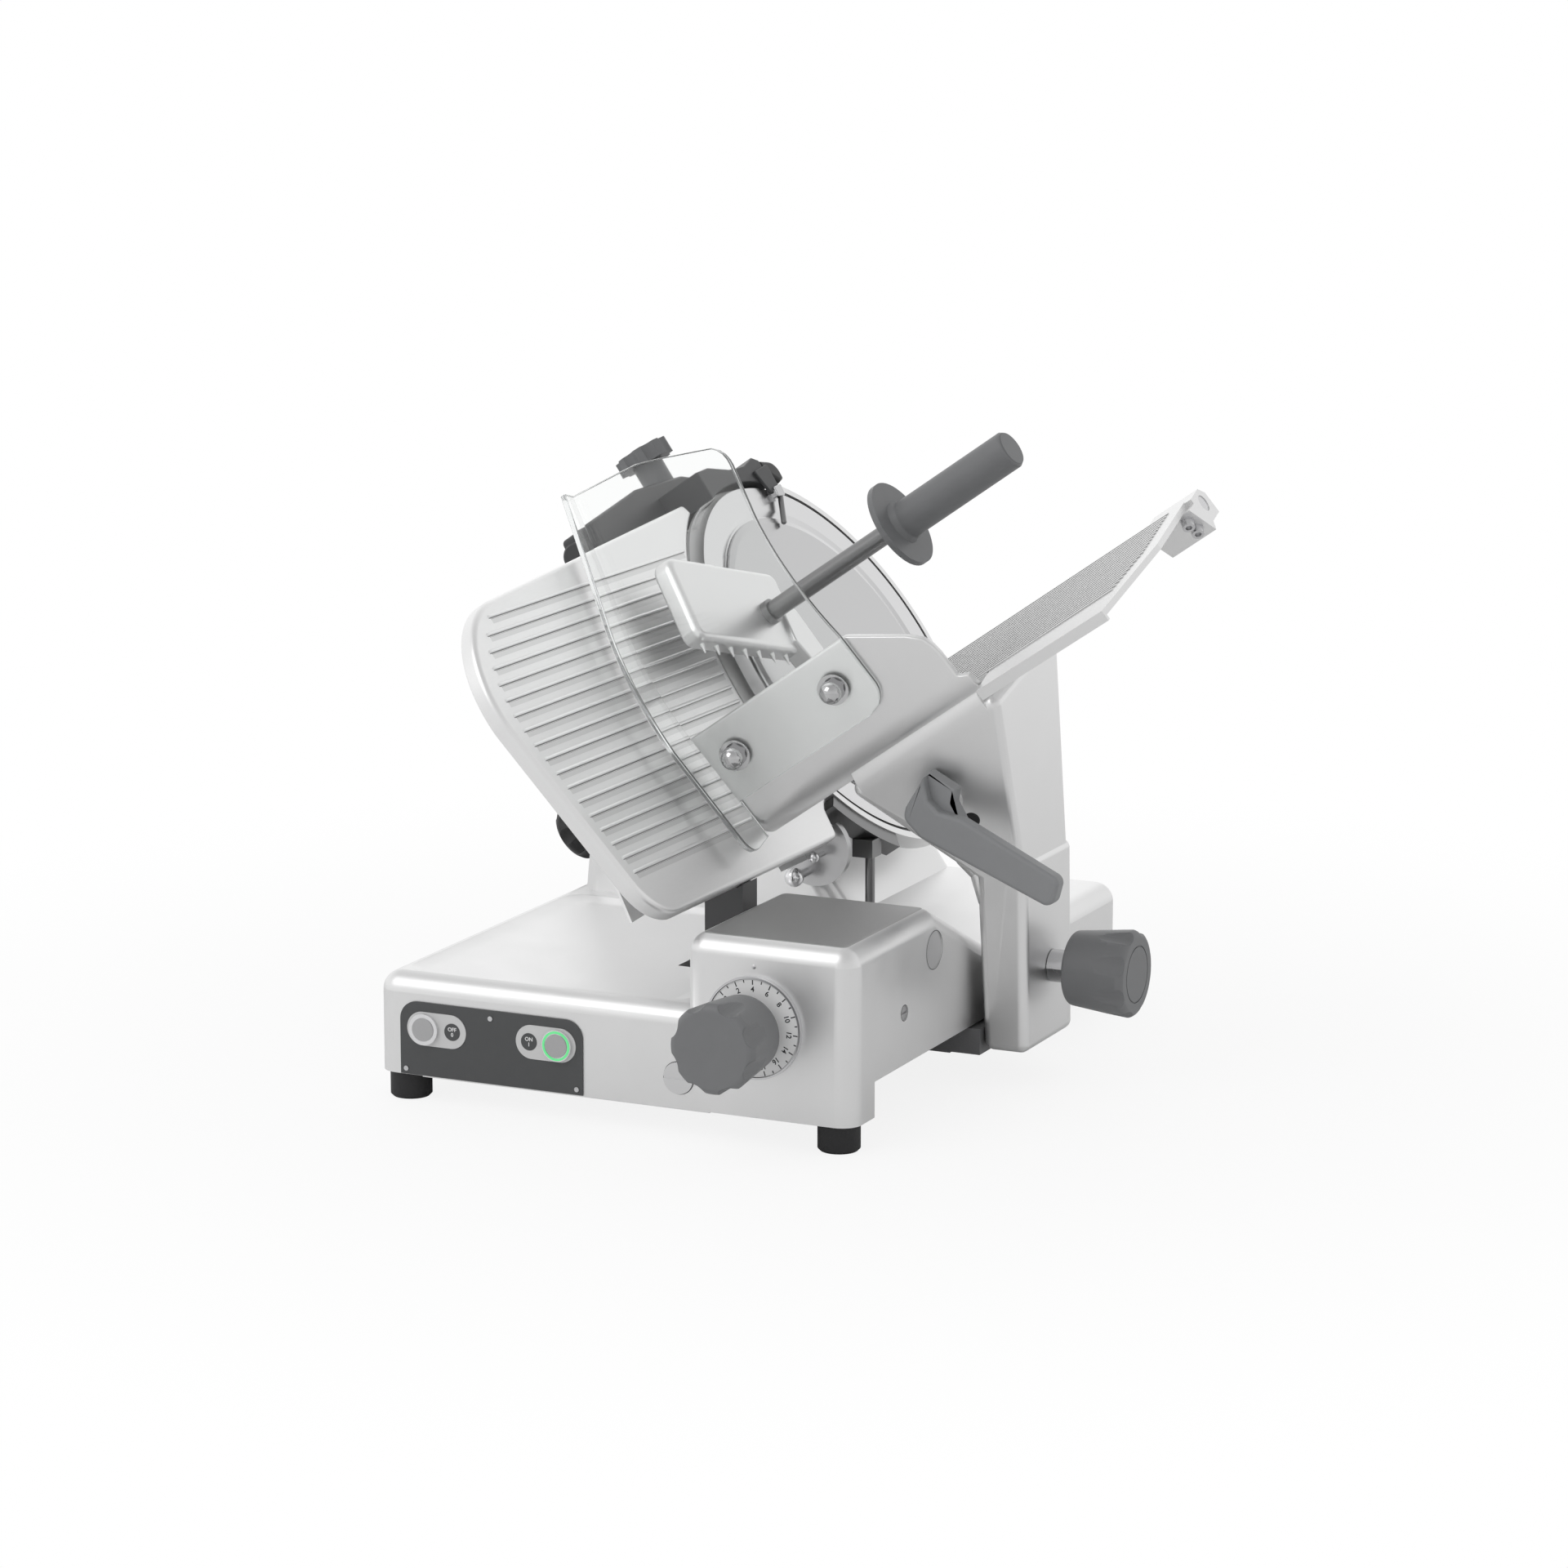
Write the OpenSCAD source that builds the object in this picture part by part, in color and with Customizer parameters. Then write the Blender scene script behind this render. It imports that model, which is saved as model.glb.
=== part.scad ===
// Gravity-feed food slicer: tilted round blade, gauge plate, sliding food carriage and pusher.
// Base frame: X to the right along the front face, Y from the front face to the back, Z up.

/* [Base] */
// Width of the base casting
base_w = 410; // [370:1:450]
// Depth of the base casting
base_d = 540; // [520:1:580]
// Height of the low deck on which slices land
deck_h = 80; // [74:1:90]
// Depth of the shallow pan in the deck
pan_depth = 4; // [2:0.5:6]
// Height of the control housing at the right front
housing_h = 138; // [130:1:160]
// Width of the control housing
housing_w = 142; // [136:1:148]
// Length of the flat top of the control housing
housing_top_d = 168; // [150:1:190]
// Rounding of the casting's outer edges
edge_r = 16; // [10:1:20]
// Wall of the casting
wall = 8; // [6:0.5:10]
// Height of a rubber foot
foot_h = 22; // [16:1:30]
// Diameter of a rubber foot
foot_d = 33; // [28:1:36]
// Thickness of the bottom plate
bottom_t = 2; // [1.5:0.5:3]

/* [Blade] */
// Tilt of the blade plane from vertical, which is also the rise of the food table
tilt = 35; // [33:0.5:37]
// Distance from the base's left bottom edge to the blade plane, along its normal
plane_u = 305; // [298:1:312]
// Diameter of the blade
blade_d = 330; // [310:1:340]
// Distance of the blade axis behind the front face
blade_y = 462; // [452:1:470]
// Height of the blade axis along the blade plane
blade_v = 111; // [105:1:118]
// Diameter of the blade shaft
shaft_d = 24; // [20:1:28]
// Width of the blade's rim outside the fixed cover
blade_rim = 29; // [26:1:34]
// Length of the tie rod from the blade cover to its release knob
tie_len = 296; // [285:1:305]
// Thickness of the ring guard's wall around the blade
ring_t = 6; // [4:0.5:8]

/* [Gauge plate] */
// Gap between the gauge plate and the blade plane at the photographed setting
slice_gap = 4; // [3:0.5:6]
// Depth of the gauge plate's rim
plate_t = 14; // [12:0.5:16]
// Thickness of the gauge plate's face
plate_face_t = 6; // [5:0.5:8]
// Number of ribs on the gauge plate
plate_ribs = 18; // [14:1:20]
// Pitch of the ribs on the gauge plate
plate_rib_pitch = 13.2; // [11:0.1:13.5]
// Teeth of the pinion on the knob's shaft
pinion_teeth = 12; // [12:1:12]
// Module of the rack and pinion
rack_module = 1; // [1:0.1:1]

/* [Carriage] */
// Lean of the food tray towards the operator
lean = 14; // [12:0.5:16]
// Length of the food tray along the feed
tray_len = 228; // [220:1:240]
// Height of the tray's front wall
tray_wall_h = 102; // [90:1:110]
// Width of the tray's floor
tray_w = 186; // [176:1:190]
// Thickness of the tray casting
tray_t = 7; // [5:0.5:8]
// Outer rounding between the tray's wall and floor
tray_r = 26; // [20:1:30]
// Length of the ribbed food table along the feed
table_len = 370; // [355:1:385]
// Ribs on the food table
table_ribs = 22; // [12:1:24]
// Diameter of the round rail under the base
rail_d = 22; // [18:1:24]
// Length of the carriage's slide block
block_len = 104; // [96:1:120]

/* [Pusher] */
// Swing of the pusher above the table in the photographed pose
swing = 30; // [25:1:32]
// Diameter of the pusher's guide rail
guide_d = 14; // [12:1:16]
// Reach of the pusher plate from its guide rail
pusher_reach = 192; // [180:1:194]
// Height of the pusher plate
pusher_h = 76; // [64:1:80]
// Thickness of the pusher plate
pusher_t = 18; // [14:1:20]
// Length of the pusher's handle rod
rod_len = 139; // [125:1:150]
// Diameter of the pusher's handle rod
rod_d = 16; // [14:1:18]
// Length of the pusher's grip
grip_len = 120; // [110:1:130]
// Diameter of the pusher's grip
grip_d = 32; // [28:1:36]

/* [Hand guard] */
// Thickness of the clear hand guard
guard_t = 5; // [4:0.5:6]
// Width of the hand guard along the feed
guard_w = 162; // [150:1:170]
// Radius of the hand guard's bend
guard_bend_r = 174; // [160:1:190]
// Angle of the hand guard's bend
guard_bend = 33; // [30:1:36]
// Length of the straight top of the hand guard
guard_top = 120; // [108:1:130]
// Width of the hand guard's flange in front of the gauge plate
flange_w = 40; // [32:1:46]

/* [Controls] */
// Diameter of a push button's bezel
bezel_d = 25; // [24:0.5:26]
// Diameter of a push button's cap
button_d = 18.6; // [17:0.1:19]
// Travel of a push button
button_travel = 2; // [1:0.5:3]
// Diameter of the thickness scale
dial_d = 76; // [70:1:80]
// Diameter over the lobes of a fluted knob
knob_d = 70; // [64:1:74]
// Length of a fluted knob
knob_len = 60; // [52:1:66]
// Distance from the front face to the back of the thickness knob
knob_stand = 16; // [12:1:20]

/* [Hidden] */
$fn = 64;
run_gap = 0.05;     // running clearance of a shaft or a sliding fit
side_gap = 0.4;     // clearance between plain moving faces
eps = 0.02;
hull_fn = 32;

// Origin: centre of the whole object's footprint box, on the floor
origin_x = 239.9;
origin_y = 280;

// Position in the base frame of a point given by depth y, height v along the blade plane and normal u
function at(y, v, u) = [u * cos(tilt) - v * sin(tilt), y, u * sin(tilt) + v * cos(tilt)];
// Points of an arc in a plane
function arc(cx, cy, r, a0, a1, steps = 24) =
    [for (i = [0:steps]) [cx + r * cos(a0 + (a1 - a0) * i / steps),
        cy + r * sin(a0 + (a1 - a0) * i / steps)]];

module in_base() translate([-origin_x, -origin_y, foot_h]) children();
// Blade frame: local X is depth, Y is up along the blade plane, Z is its normal towards the food
module in_blade() in_base() translate(at(blade_y, blade_v, plane_u)) rotate([90 - tilt, 0, 90]) children();
// Tray frame: local X runs away from the operator along the floor, Y is the floor's normal, Z is the feed
tray_y = 168.8;
tray_v = -6.6;
module in_tray() in_base() translate(at(tray_y, tray_v, plane_u)) rotate([90 - tilt, 0, 90])
    rotate([0, 0, lean]) children();
// Profile across the tray: local X is the floor's normal, Y is the feed, extruded away from the operator
module across_tray() rotate([90, 0, 90]) children();
// Frame of a feature on the front face: local Z points to the operator, X to the right, Y up
module on_front(x, z, y = 0) in_base() translate([x, y, z]) rotate([90, 0, 0]) children();
// Frame of a feature on the right side: local Z points to the right
module on_right(x, y, z) in_base() translate([x, y, z]) rotate([0, 90, 0]) children();

module tube(d_out, d_in, len) difference() {
    cylinder(d = d_out, h = len);
    translate([0, 0, -1]) cylinder(d = d_in, h = len + 2);
}

// Base
housing_x = base_w - housing_w;
housing_foot_d = housing_top_d + 108;
foot_x = [20, base_w - 20];
foot_y = [19, base_d - 19];
foot_boss_d = 25;
foot_bore = 6;
leg_front = 40;
leg_rear = 40;
side_clear_h = 28;
rail_x = base_w - 45;
rail_z = 24;
track_x = rail_x - 49;
track_w = 8;
track_h = 24;
track_z = 12;
rail_seat = 5;

// Slots of the gauge plate's support in the deck and in the housing
column_w = 33;
column_x = housing_x - 46;
column_y = 132;
column_d = 26;
gauge_open = 21;
gauge_close = 4.2;
slot_room = 2;
guide_rod_d = 12;
guide_z = 42;
guide_y = [column_y - 8, column_y + column_d + 8];
lug_t = 10;
lug_x = [column_x - 47, column_x + column_w + 7];
lug_low = 28;
rack_h = 10;
rack_d = 12;
rack_y = column_y + 7;

// Controls
button_z = 38.5;
off_x = 44;
on_x = 161;
switch_hole = 22;
dial_x = base_w - 82;
dial_z = 71;
plug_d = 25;
plug_stub = 18;
plug_x = 264;
plug_z = 24;
side_plug_d = 30;
side_plug_y = 152;
side_plug_z = 106;
side_screw_d = 12;
side_screw_y = 95;
side_screw_z = 69;
knob_shaft_d = 14;
panel_t = 1.2;
window_t = 0.6;
panel_x = 22;
panel_w = 160;
panel_h = 59;
panel_r = 15;
panel_screw_d = 4;
panel_screw_at = [[panel_x + 5, 5], [panel_x + 80, panel_h - 6], [panel_x + panel_w - 5, 5]];

// Drive behind the blade, as distances along the blade's normal and down the blade plane
tower_face = -46;
tower_front = blade_y - blade_d / 2 + 22;
tower_back = base_d - 4;
tower_x = 14;
tower_top = 160;
tower_shoulder_z = 235;
pulley_span = 96;
belt_z = -118;
belt_w = 14;
belt_t = 4;
blade_pulley_d = 64;
motor_pulley_d = 40;
motor_d = 76;
motor_len = 90;
motor_front = belt_z - 17;
motor_shaft_d = 14;
motor_fin = 4;
drive_room = 58;
belt_room = 46;
bearing_d = 44;
bearing_w = 12;
housing_tube_d = 60;
housing_flange_d = 88;
housing_flange_t = 6;
tie_d = 10;
tie_bore = 12;
boss_d = 60;
boss_end = -tie_len + 18;
gland_x = base_w - 160;
gland_z = 42;
gland_d = 20;
post_x = -64;
post_z = -62;
post_d = 18;

module rounded_block(x0, x1, y0, y1, h) hull() {
    for (x = [x0 + edge_r, x1 - edge_r], y = [y0 + edge_r, y1 - edge_r]) {
        translate([x, y, 0]) cylinder(r = edge_r, h = 1, $fn = hull_fn);
        translate([x, y, h - edge_r]) sphere(r = edge_r, $fn = hull_fn);
    }
}

module housing_block() hull() {
    for (x = [housing_x + edge_r, base_w - edge_r]) {
        translate([x, edge_r, 0]) cylinder(r = edge_r, h = 1, $fn = hull_fn);
        translate([x, edge_r, housing_h - edge_r]) sphere(r = edge_r, $fn = hull_fn);
        translate([x, housing_top_d - edge_r, housing_h - edge_r]) sphere(r = edge_r, $fn = hull_fn);
        translate([x, housing_foot_d, deck_h - edge_r]) sphere(r = edge_r, $fn = hull_fn);
        translate([x, housing_foot_d, 0]) cylinder(r = edge_r, h = 1, $fn = hull_fn);
    }
}

// Tower that carries the blade; its upper right face is parallel to the blade
tower_u = plane_u + tower_face - edge_r;
tower_low_z = deck_h - 10;
tower_low_x = (tower_u - tower_low_z * sin(tilt)) / cos(tilt);
tower_peak = at(0, tower_top, tower_u);
module tower_block() hull() {
    for (y = [tower_front + edge_r, tower_back - edge_r]) {
        translate([tower_x + edge_r, y, tower_low_z]) sphere(r = edge_r, $fn = hull_fn);
        translate([tower_low_x, y, tower_low_z]) sphere(r = edge_r, $fn = hull_fn);
        translate([tower_peak[0], y, tower_peak[2]]) sphere(r = edge_r, $fn = hull_fn);
        translate([tower_x + 2 * edge_r, y, tower_shoulder_z]) sphere(r = edge_r, $fn = hull_fn);
    }
}

module base_casting() color("silver") {
    difference() {
        union() {
            difference() {
                union() {
                    in_base() rounded_block(0, base_w, 0, base_d, deck_h);
                    in_base() housing_block();
                    in_base() tower_block();
                    in_blade() translate([0, 0, boss_end]) cylinder(d = boss_d, h = 130);
                }
                base_hollows();
            }
            base_bosses();
        }
        base_bores();
    }
}

module base_hollows() {
    in_base() {
        translate([wall, wall, -1])
            cube([base_w - 2 * wall, base_d - 2 * wall, deck_h - wall - pan_depth + 1]);
        translate([housing_x + wall, wall, wall])
            cube([housing_w - 2 * wall, housing_top_d - 2 * wall, housing_h - 2 * wall]);
        translate([tower_x + 26, tower_front + 26, wall])
            cube([100, blade_y - drive_room - tower_front - 26, deck_h + 90]);
        deck_basin();
        // Side opening through which the carriage reaches its rail
        translate([base_w - wall - 12, leg_front, -1])
            cube([wall + 14, base_d - leg_front - leg_rear, side_clear_h + 1]);
    }
    in_blade() {
        translate([-belt_room, -pulley_span - 75, belt_z - 16]) cube([2 * belt_room, pulley_span + 119, 34]);
        translate([0, -pulley_span, motor_front - motor_len - 4])
            cylinder(d = motor_d + 2 * motor_fin + 2 * side_gap, h = motor_len + 6);
    }
}
// Shallow basin of the deck, with sides that curve up to its rim
pan_edge = 36;
pan_r = 60;
module deck_basin() intersection() {
    hull() for (x = [pan_edge, housing_x - pan_edge + 8], y = [pan_edge, tower_front - pan_edge])
        translate([x, y, deck_h - pan_depth + pan_r]) sphere(r = pan_r, $fn = 48);
    cube([base_w, base_d, deck_h + 1]);
}

module base_bosses() in_base() {
    for (x = foot_x, y = foot_y) translate([x, y, 0]) cylinder(d = foot_boss_d, h = deck_h - wall);
    for (x = lug_x) translate([x, guide_y[0] - 12, lug_low])
        cube([lug_t, guide_y[1] - guide_y[0] + 24, deck_h - pan_depth - lug_low - 2]);
    translate([dial_x, wall - 1, dial_z]) rotate([-90, 0, 0]) cylinder(d = 30, h = 22);
}

module base_bores() {
    in_base() {
        for (x = foot_x, y = foot_y) translate([x, y, -1]) cylinder(d = foot_bore + 2 * run_gap, h = 41);
        translate([rail_x, rail_seat - 2, rail_z]) rotate([-90, 0, 0])
            cylinder(d = rail_d + 2 * run_gap, h = base_d - 2 * rail_seat + 4);
        translate([track_x - run_gap, rail_seat - 2, track_z - run_gap])
            cube([track_w + 2 * run_gap, base_d - 2 * rail_seat + 4, track_h + 2 * run_gap]);
        translate([column_x - gauge_open - slot_room, column_y - slot_room, deck_h - 30])
            cube([column_w + gauge_open + gauge_close + 2 * slot_room, column_d + 2 * slot_room, 60]);
        translate([column_x + column_w, rack_y - slot_room, dial_z + 3])
            cube([housing_x + wall + 4 - column_x - column_w, rack_d + 2 * slot_room, rack_h + 8]);
        for (y = guide_y) translate([lug_x[0] - 1, y, guide_z]) rotate([0, 90, 0])
            cylinder(d = guide_rod_d + 2 * run_gap, h = lug_x[1] - lug_x[0] + lug_t + 2);
        for (x = [off_x, on_x]) translate([x, -1, button_z]) rotate([-90, 0, 0])
            cylinder(d = switch_hole, h = wall + 2);
        for (p = panel_screw_at) translate([p[0], -1, p[1]]) rotate([-90, 0, 0])
            cylinder(d = panel_screw_d * 0.6 + 2 * run_gap, h = wall);
        translate([plug_x, -1, plug_z]) rotate([-90, 0, 0])
            cylinder(d = plug_stub + 2 * run_gap, h = wall + 2);
        translate([dial_x, -1, dial_z]) rotate([-90, 0, 0]) cylinder(d = knob_shaft_d + 2 * run_gap, h = 40);
        translate([base_w - wall - 1, side_plug_y, side_plug_z]) rotate([0, 90, 0])
            cylinder(d = side_plug_d + 2 * run_gap, h = wall + 2);
        translate([base_w - wall - 1, side_screw_y, side_screw_z]) rotate([0, 90, 0])
            cylinder(d = side_screw_d + 2 * run_gap, h = wall + 2);
        translate([gland_x, base_d - wall - 1, gland_z]) rotate([-90, 0, 0])
            cylinder(d = gland_d + 2 * run_gap, h = wall + 2);
    }
    in_blade() {
        translate([0, 0, belt_z + 10]) cylinder(d = housing_tube_d + 2 * run_gap, h = 80);
        translate([0, 0, boss_end - 1]) cylinder(d = tie_d + 2 * run_gap, h = belt_z - boss_end);
        translate([post_x, tower_top - blade_v - 25, post_z]) rotate([-90, 0, 0])
            cylinder(d = post_d + 2 * run_gap, h = 60);
    }
    in_base() translate([stay_at[0], stay_at[1], deck_h - stay_seat])
        cylinder(d = stay_d + 2 * run_gap, h = 40);
}

module bottom_plate() color("gainsboro") in_base()
    translate([foot_x[0] + foot_d / 2 + 2, wall / 2, -bottom_t])
        cube([track_x - foot_x[0] - foot_d / 2 - 30, base_d - wall, bottom_t]);

foot_head_d = 12;
foot_head_h = 5;
module feet() color("#1c1c1e") for (x = foot_x, y = foot_y) in_base() translate([x, y, -foot_h])
    difference() {
    union() {
        cylinder(d1 = foot_d - 4, d2 = foot_d, h = 2);
        translate([0, 0, 2]) cylinder(d = foot_d, h = foot_h - 2);
    }
    translate([0, 0, -1]) cylinder(d = foot_head_d + 2, h = foot_head_h + 3);
    cylinder(d = foot_bore + 2 * run_gap, h = foot_h + 1);
}

module foot_screws() color("gray") for (x = foot_x, y = foot_y) in_base() translate([x, y, -foot_h + 2]) {
    cylinder(d = foot_head_d, h = foot_head_h);
    cylinder(d = foot_bore, h = foot_h + 30);
}

// Controls on the front face
module panel_outline() {
    square([panel_w, panel_h - panel_r]);
    translate([panel_r, 0]) square([panel_w - 2 * panel_r, panel_h]);
    for (x = [panel_r, panel_w - panel_r]) translate([x, panel_h - panel_r]) circle(r = panel_r);
}

module control_panel() color("#4a4b4d") on_front(0, 0) difference() {
    translate([panel_x, 0.5, 0]) linear_extrude(panel_t) panel_outline();
    for (x = [off_x, on_x]) translate([x, button_z, -1]) cylinder(d = switch_hole + 0.2, h = panel_t + 2);
    for (p = panel_screw_at) translate([p[0], p[1], -1])
        cylinder(d = panel_screw_d * 0.6 + 0.2, h = panel_t + 2);
}

module panel_screws() color("silver") for (p = panel_screw_at) on_front(p[0], p[1], -panel_t) {
    cylinder(d = panel_screw_d, h = 0.8);
    translate([0, 0, -5]) cylinder(d = panel_screw_d * 0.6, h = 5.2);
}

window_w = 52;
window_h = 27;
window_x = [off_x + 10.5, on_x - 10.5];
module switch_windows() color("lightgray") for (i = [0, 1]) on_front(window_x[i], button_z, -panel_t)
    difference() {
    linear_extrude(window_t) {
        square([window_w - window_h, window_h], center = true);
        for (s = [-1, 1]) translate([s * (window_w - window_h) / 2, 0]) circle(d = window_h);
    }
    translate([[off_x, on_x][i] - window_x[i], 0, -1]) cylinder(d = switch_hole + 0.2, h = window_t + 2);
}

bezel_h = 3;
bezel_back = -panel_t - window_t;
switch_len = 30;
button_proud = 0.6;
button_len = 12;
spring_room = 13.6;
module button_housings() color("gainsboro") for (x = [off_x, on_x]) on_front(x, button_z, bezel_back)
    difference() {
    union() {
        cylinder(d = bezel_d, h = bezel_h);
        translate([0, 0, -switch_len]) cylinder(d = switch_hole - 2 * run_gap, h = switch_len + 1);
    }
    translate([0, 0, bezel_h + button_proud - button_len - button_travel - spring_room])
        cylinder(d = button_d + 2 * run_gap, h = switch_len + bezel_h);
}

module on_light_ring() color("limegreen") on_front(on_x, button_z, bezel_back - bezel_h)
    tube(bezel_d - 1.6, button_d + 1.2, 0.4);

module push_button(x) on_front(x, button_z, bezel_back - bezel_h - button_proud)
    translate([0, 0, -button_len]) cylinder(d = button_d, h = button_len);
module off_button() color("whitesmoke") push_button(off_x);
module on_button() color("whitesmoke") push_button(on_x);

module front_plug() color("silver") on_front(plug_x, plug_z) difference() {
    union() {
        cylinder(d = plug_d, h = 1.6);
        translate([0, 0, -wall]) cylinder(d = plug_stub, h = wall + 1);
    }
    translate([-plug_d, -0.9, 0.6]) cube([2 * plug_d, 1.8, 2]);
}

module side_plug() color("silver") on_right(base_w - wall, side_plug_y, side_plug_z)
    cylinder(d = side_plug_d, h = wall - 0.6);
module side_screw() color("silver") on_right(base_w - wall, side_screw_y, side_screw_z) difference() {
    cylinder(d = side_screw_d, h = wall - 0.8);
    translate([-1, -side_screw_d, wall - 2]) cube([2, 2 * side_screw_d, 3]);
}

module dial_rim() color("gainsboro") on_front(dial_x, dial_z) tube(dial_d + 4, dial_d + 0.8, 4);
dial_t = 2;
dial_gap = 1;
module dial_plate() color("white") on_front(dial_x, dial_z, -dial_gap) tube(dial_d, knob_shaft_d, dial_t);

// Fluted knob along +Z: tapered skirt, eight scooped flutes and a flat face with a seat for its cap
knob_flutes = 8;
flute_r = 13;
cap_d = 46;
cap_t = 2;
module fluted_form(len) difference() {
    rotate_extrude() polygon(concat(
        [[0, 0], [knob_d / 2 - 9, 0]],
        arc(knob_d / 2 - 9, 4, 4, -90, -10, 6),
        arc(knob_d / 2 - 6, len - 6, 6, 0, 90, 8),
        [[0, len]]));
    for (i = [0:knob_flutes - 1]) rotate([0, 0, (i + 0.5) * 360 / knob_flutes])
        translate([knob_d / 2 + flute_r - 1, 0, 8]) rotate([0, -4, 0]) cylinder(r = flute_r, h = len + 4);
}
knob_bore_len = 30;
module fluted_knob(bore) difference() {
    fluted_form(knob_len);
    translate([0, 0, knob_len - cap_t]) cylinder(d = cap_d, h = cap_t + 1);
    translate([0, 0, -1]) cylinder(d = bore, h = knob_bore_len + 1);
}

module thickness_knob() color("#6b6d70") on_front(dial_x, dial_z, -knob_stand) fluted_knob(knob_shaft_d);
module knob_cap() color("#66686b") on_front(dial_x, dial_z, -knob_stand - knob_len + cap_t)
    cylinder(d = cap_d, h = cap_t);

// Pinion of the knob's shaft and the rack that it drives
pinion_r = pinion_teeth * rack_module / 2;
tooth_h = rack_module;
backlash = 0.18;
module pinion_2d() {
    circle(r = pinion_r - 1.25 * rack_module);
    for (i = [0:pinion_teeth - 1]) rotate(i * 360 / pinion_teeth) polygon([
        [pinion_r - 1.4 * rack_module, -0.95 * rack_module], [pinion_r, -0.7 * rack_module + backlash / 2],
        [pinion_r + 0.85 * tooth_h, -0.25 * rack_module], [pinion_r + 0.85 * tooth_h, 0.25 * rack_module],
        [pinion_r, 0.7 * rack_module - backlash / 2], [pinion_r - 1.4 * rack_module, 0.95 * rack_module]]);
}

module knob_shaft() color("lightgray") in_base() translate([dial_x, 0, dial_z]) rotate([-90, 0, 0]) {
    translate([0, 0, -knob_stand - knob_bore_len])
        cylinder(d = knob_shaft_d, h = knob_stand + knob_bore_len + wall + 24);
    cylinder(d = 2 * pinion_r - 3 * rack_module, h = rack_y + rack_d + 6);
    translate([0, 0, rack_y]) linear_extrude(rack_d) rotate(90) pinion_2d();
}

// Gauge plate and its support
module gauge_guide_rods() color("lightgray") for (y = guide_y) in_base() translate([lug_x[0], y, guide_z])
    rotate([0, 90, 0]) cylinder(d = guide_rod_d, h = lug_x[1] - lug_x[0] + lug_t);

rack_line = dial_z + pinion_r;
rack_pitch = PI * rack_module;
rack_end = dial_x + 32;
module rack_2d() difference() {
    translate([column_x, rack_line - 0.9 * tooth_h]) square([rack_end - column_x, rack_h + 0.9 * tooth_h]);
    // Gaps between the teeth, one of them centred over the pinion
    for (i = [-6:9]) translate([dial_x + (i + rack_phase) * rack_pitch, rack_line]) polygon([
        [-0.42 * rack_module, 1.3 * tooth_h], [0.42 * rack_module, 1.3 * tooth_h],
        [0.8 * rack_module + backlash, 0], [1.2 * rack_module, -tooth_h],
        [-1.2 * rack_module, -tooth_h], [-0.8 * rack_module - backlash, 0]]);
    translate([column_x + column_w + 1, rack_line - tooth_h - 1])
        square([dial_x - 7 * rack_pitch - column_x - column_w - 1, tooth_h + 1.2]);
}
rack_phase = 0;

gauge_back = -slice_gap - plate_t;
plate_low = -25;
bracket_t = 12;
bracket_h = 82;
// The plate's bracket and the post reach at least to where the bracket crosses the middle of the post
post_meet = 18.76;
post_cut = 1;
least_drop = 0;
meet_v = (at(0, 0, plane_u + gauge_back)[0] - column_x - post_meet) / sin(tilt);
bracket_drop = max(least_drop, plate_low - meet_v);
carrier_h = 34;
column_top = at(0, max(plate_low + 20, meet_v), plane_u + gauge_back)[2];
module gauge_column() color("#55575a") {
    difference() {
        in_base() union() {
            translate([column_x, column_y, guide_z - carrier_h / 2])
                cube([column_w, column_d, column_top - guide_z + carrier_h / 2]);
            translate([column_x, guide_y[0] - 11, guide_z - carrier_h / 2])
                cube([column_w, guide_y[1] - guide_y[0] + 22, carrier_h - 8]);
            translate([0, rack_y, 0]) rotate([90, 0, 0]) mirror([0, 0, 1]) linear_extrude(rack_d) rack_2d();
        }
        in_base() for (y = guide_y) translate([column_x - 1, y, guide_z]) rotate([0, 90, 0])
            cylinder(d = guide_rod_d + 2 * run_gap, h = column_w + 2);
        // The post ends at the back of the gauge plate
        in_blade() translate([column_y - blade_y - 1, plate_low - post_cut - blade_v, gauge_back])
            cube([column_d + 2, 2 * bracket_h, 80]);
    }
    in_blade() translate([column_y - blade_y, plate_low - bracket_drop - blade_v, gauge_back - bracket_t])
        cube([column_d, bracket_h + bracket_drop, bracket_t]);
}

plate_top_r = 279;
plate_top_y = blade_y - 88;
plate_end_y = blade_y - blade_d / 2 + 3;
plate_left = [18, 168, 87];
plate_corner = [14, 21, 46];
blade_side_gap = 14;
module plate_outline() translate([-blade_y, -blade_v]) difference() {
    polygon(concat(
        arc(plate_left[0], plate_left[1], plate_left[2], 95, 188, 16),
        arc(plate_corner[0], plate_corner[1], plate_corner[2], 192, 270, 10),
        [[plate_end_y, plate_low], [plate_end_y + 6, plate_low + 26], [blade_y, blade_v - 40],
         [blade_y, blade_v + 60], [plate_top_y, plate_top_r]]));
    translate([blade_y, blade_v]) circle(d = blade_d + 2 * blade_side_gap, $fn = 128);
}
module plate_pocket() translate([-blade_y, -blade_v]) difference() {
    polygon([[-56, 150], [-30, 32], [16, -12], [plate_end_y - 10, -12], [plate_end_y - 2, 30],
        [blade_y, blade_v], [plate_top_y - 12, plate_top_r - 16], [30, 240], [-30, 212]]);
    translate([blade_y, blade_v]) circle(d = blade_d + 2 * blade_side_gap + 20, $fn = 128);
}
rib_r = 1.9;
rib_rise = 1.2;
rib_low = 17;
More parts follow.
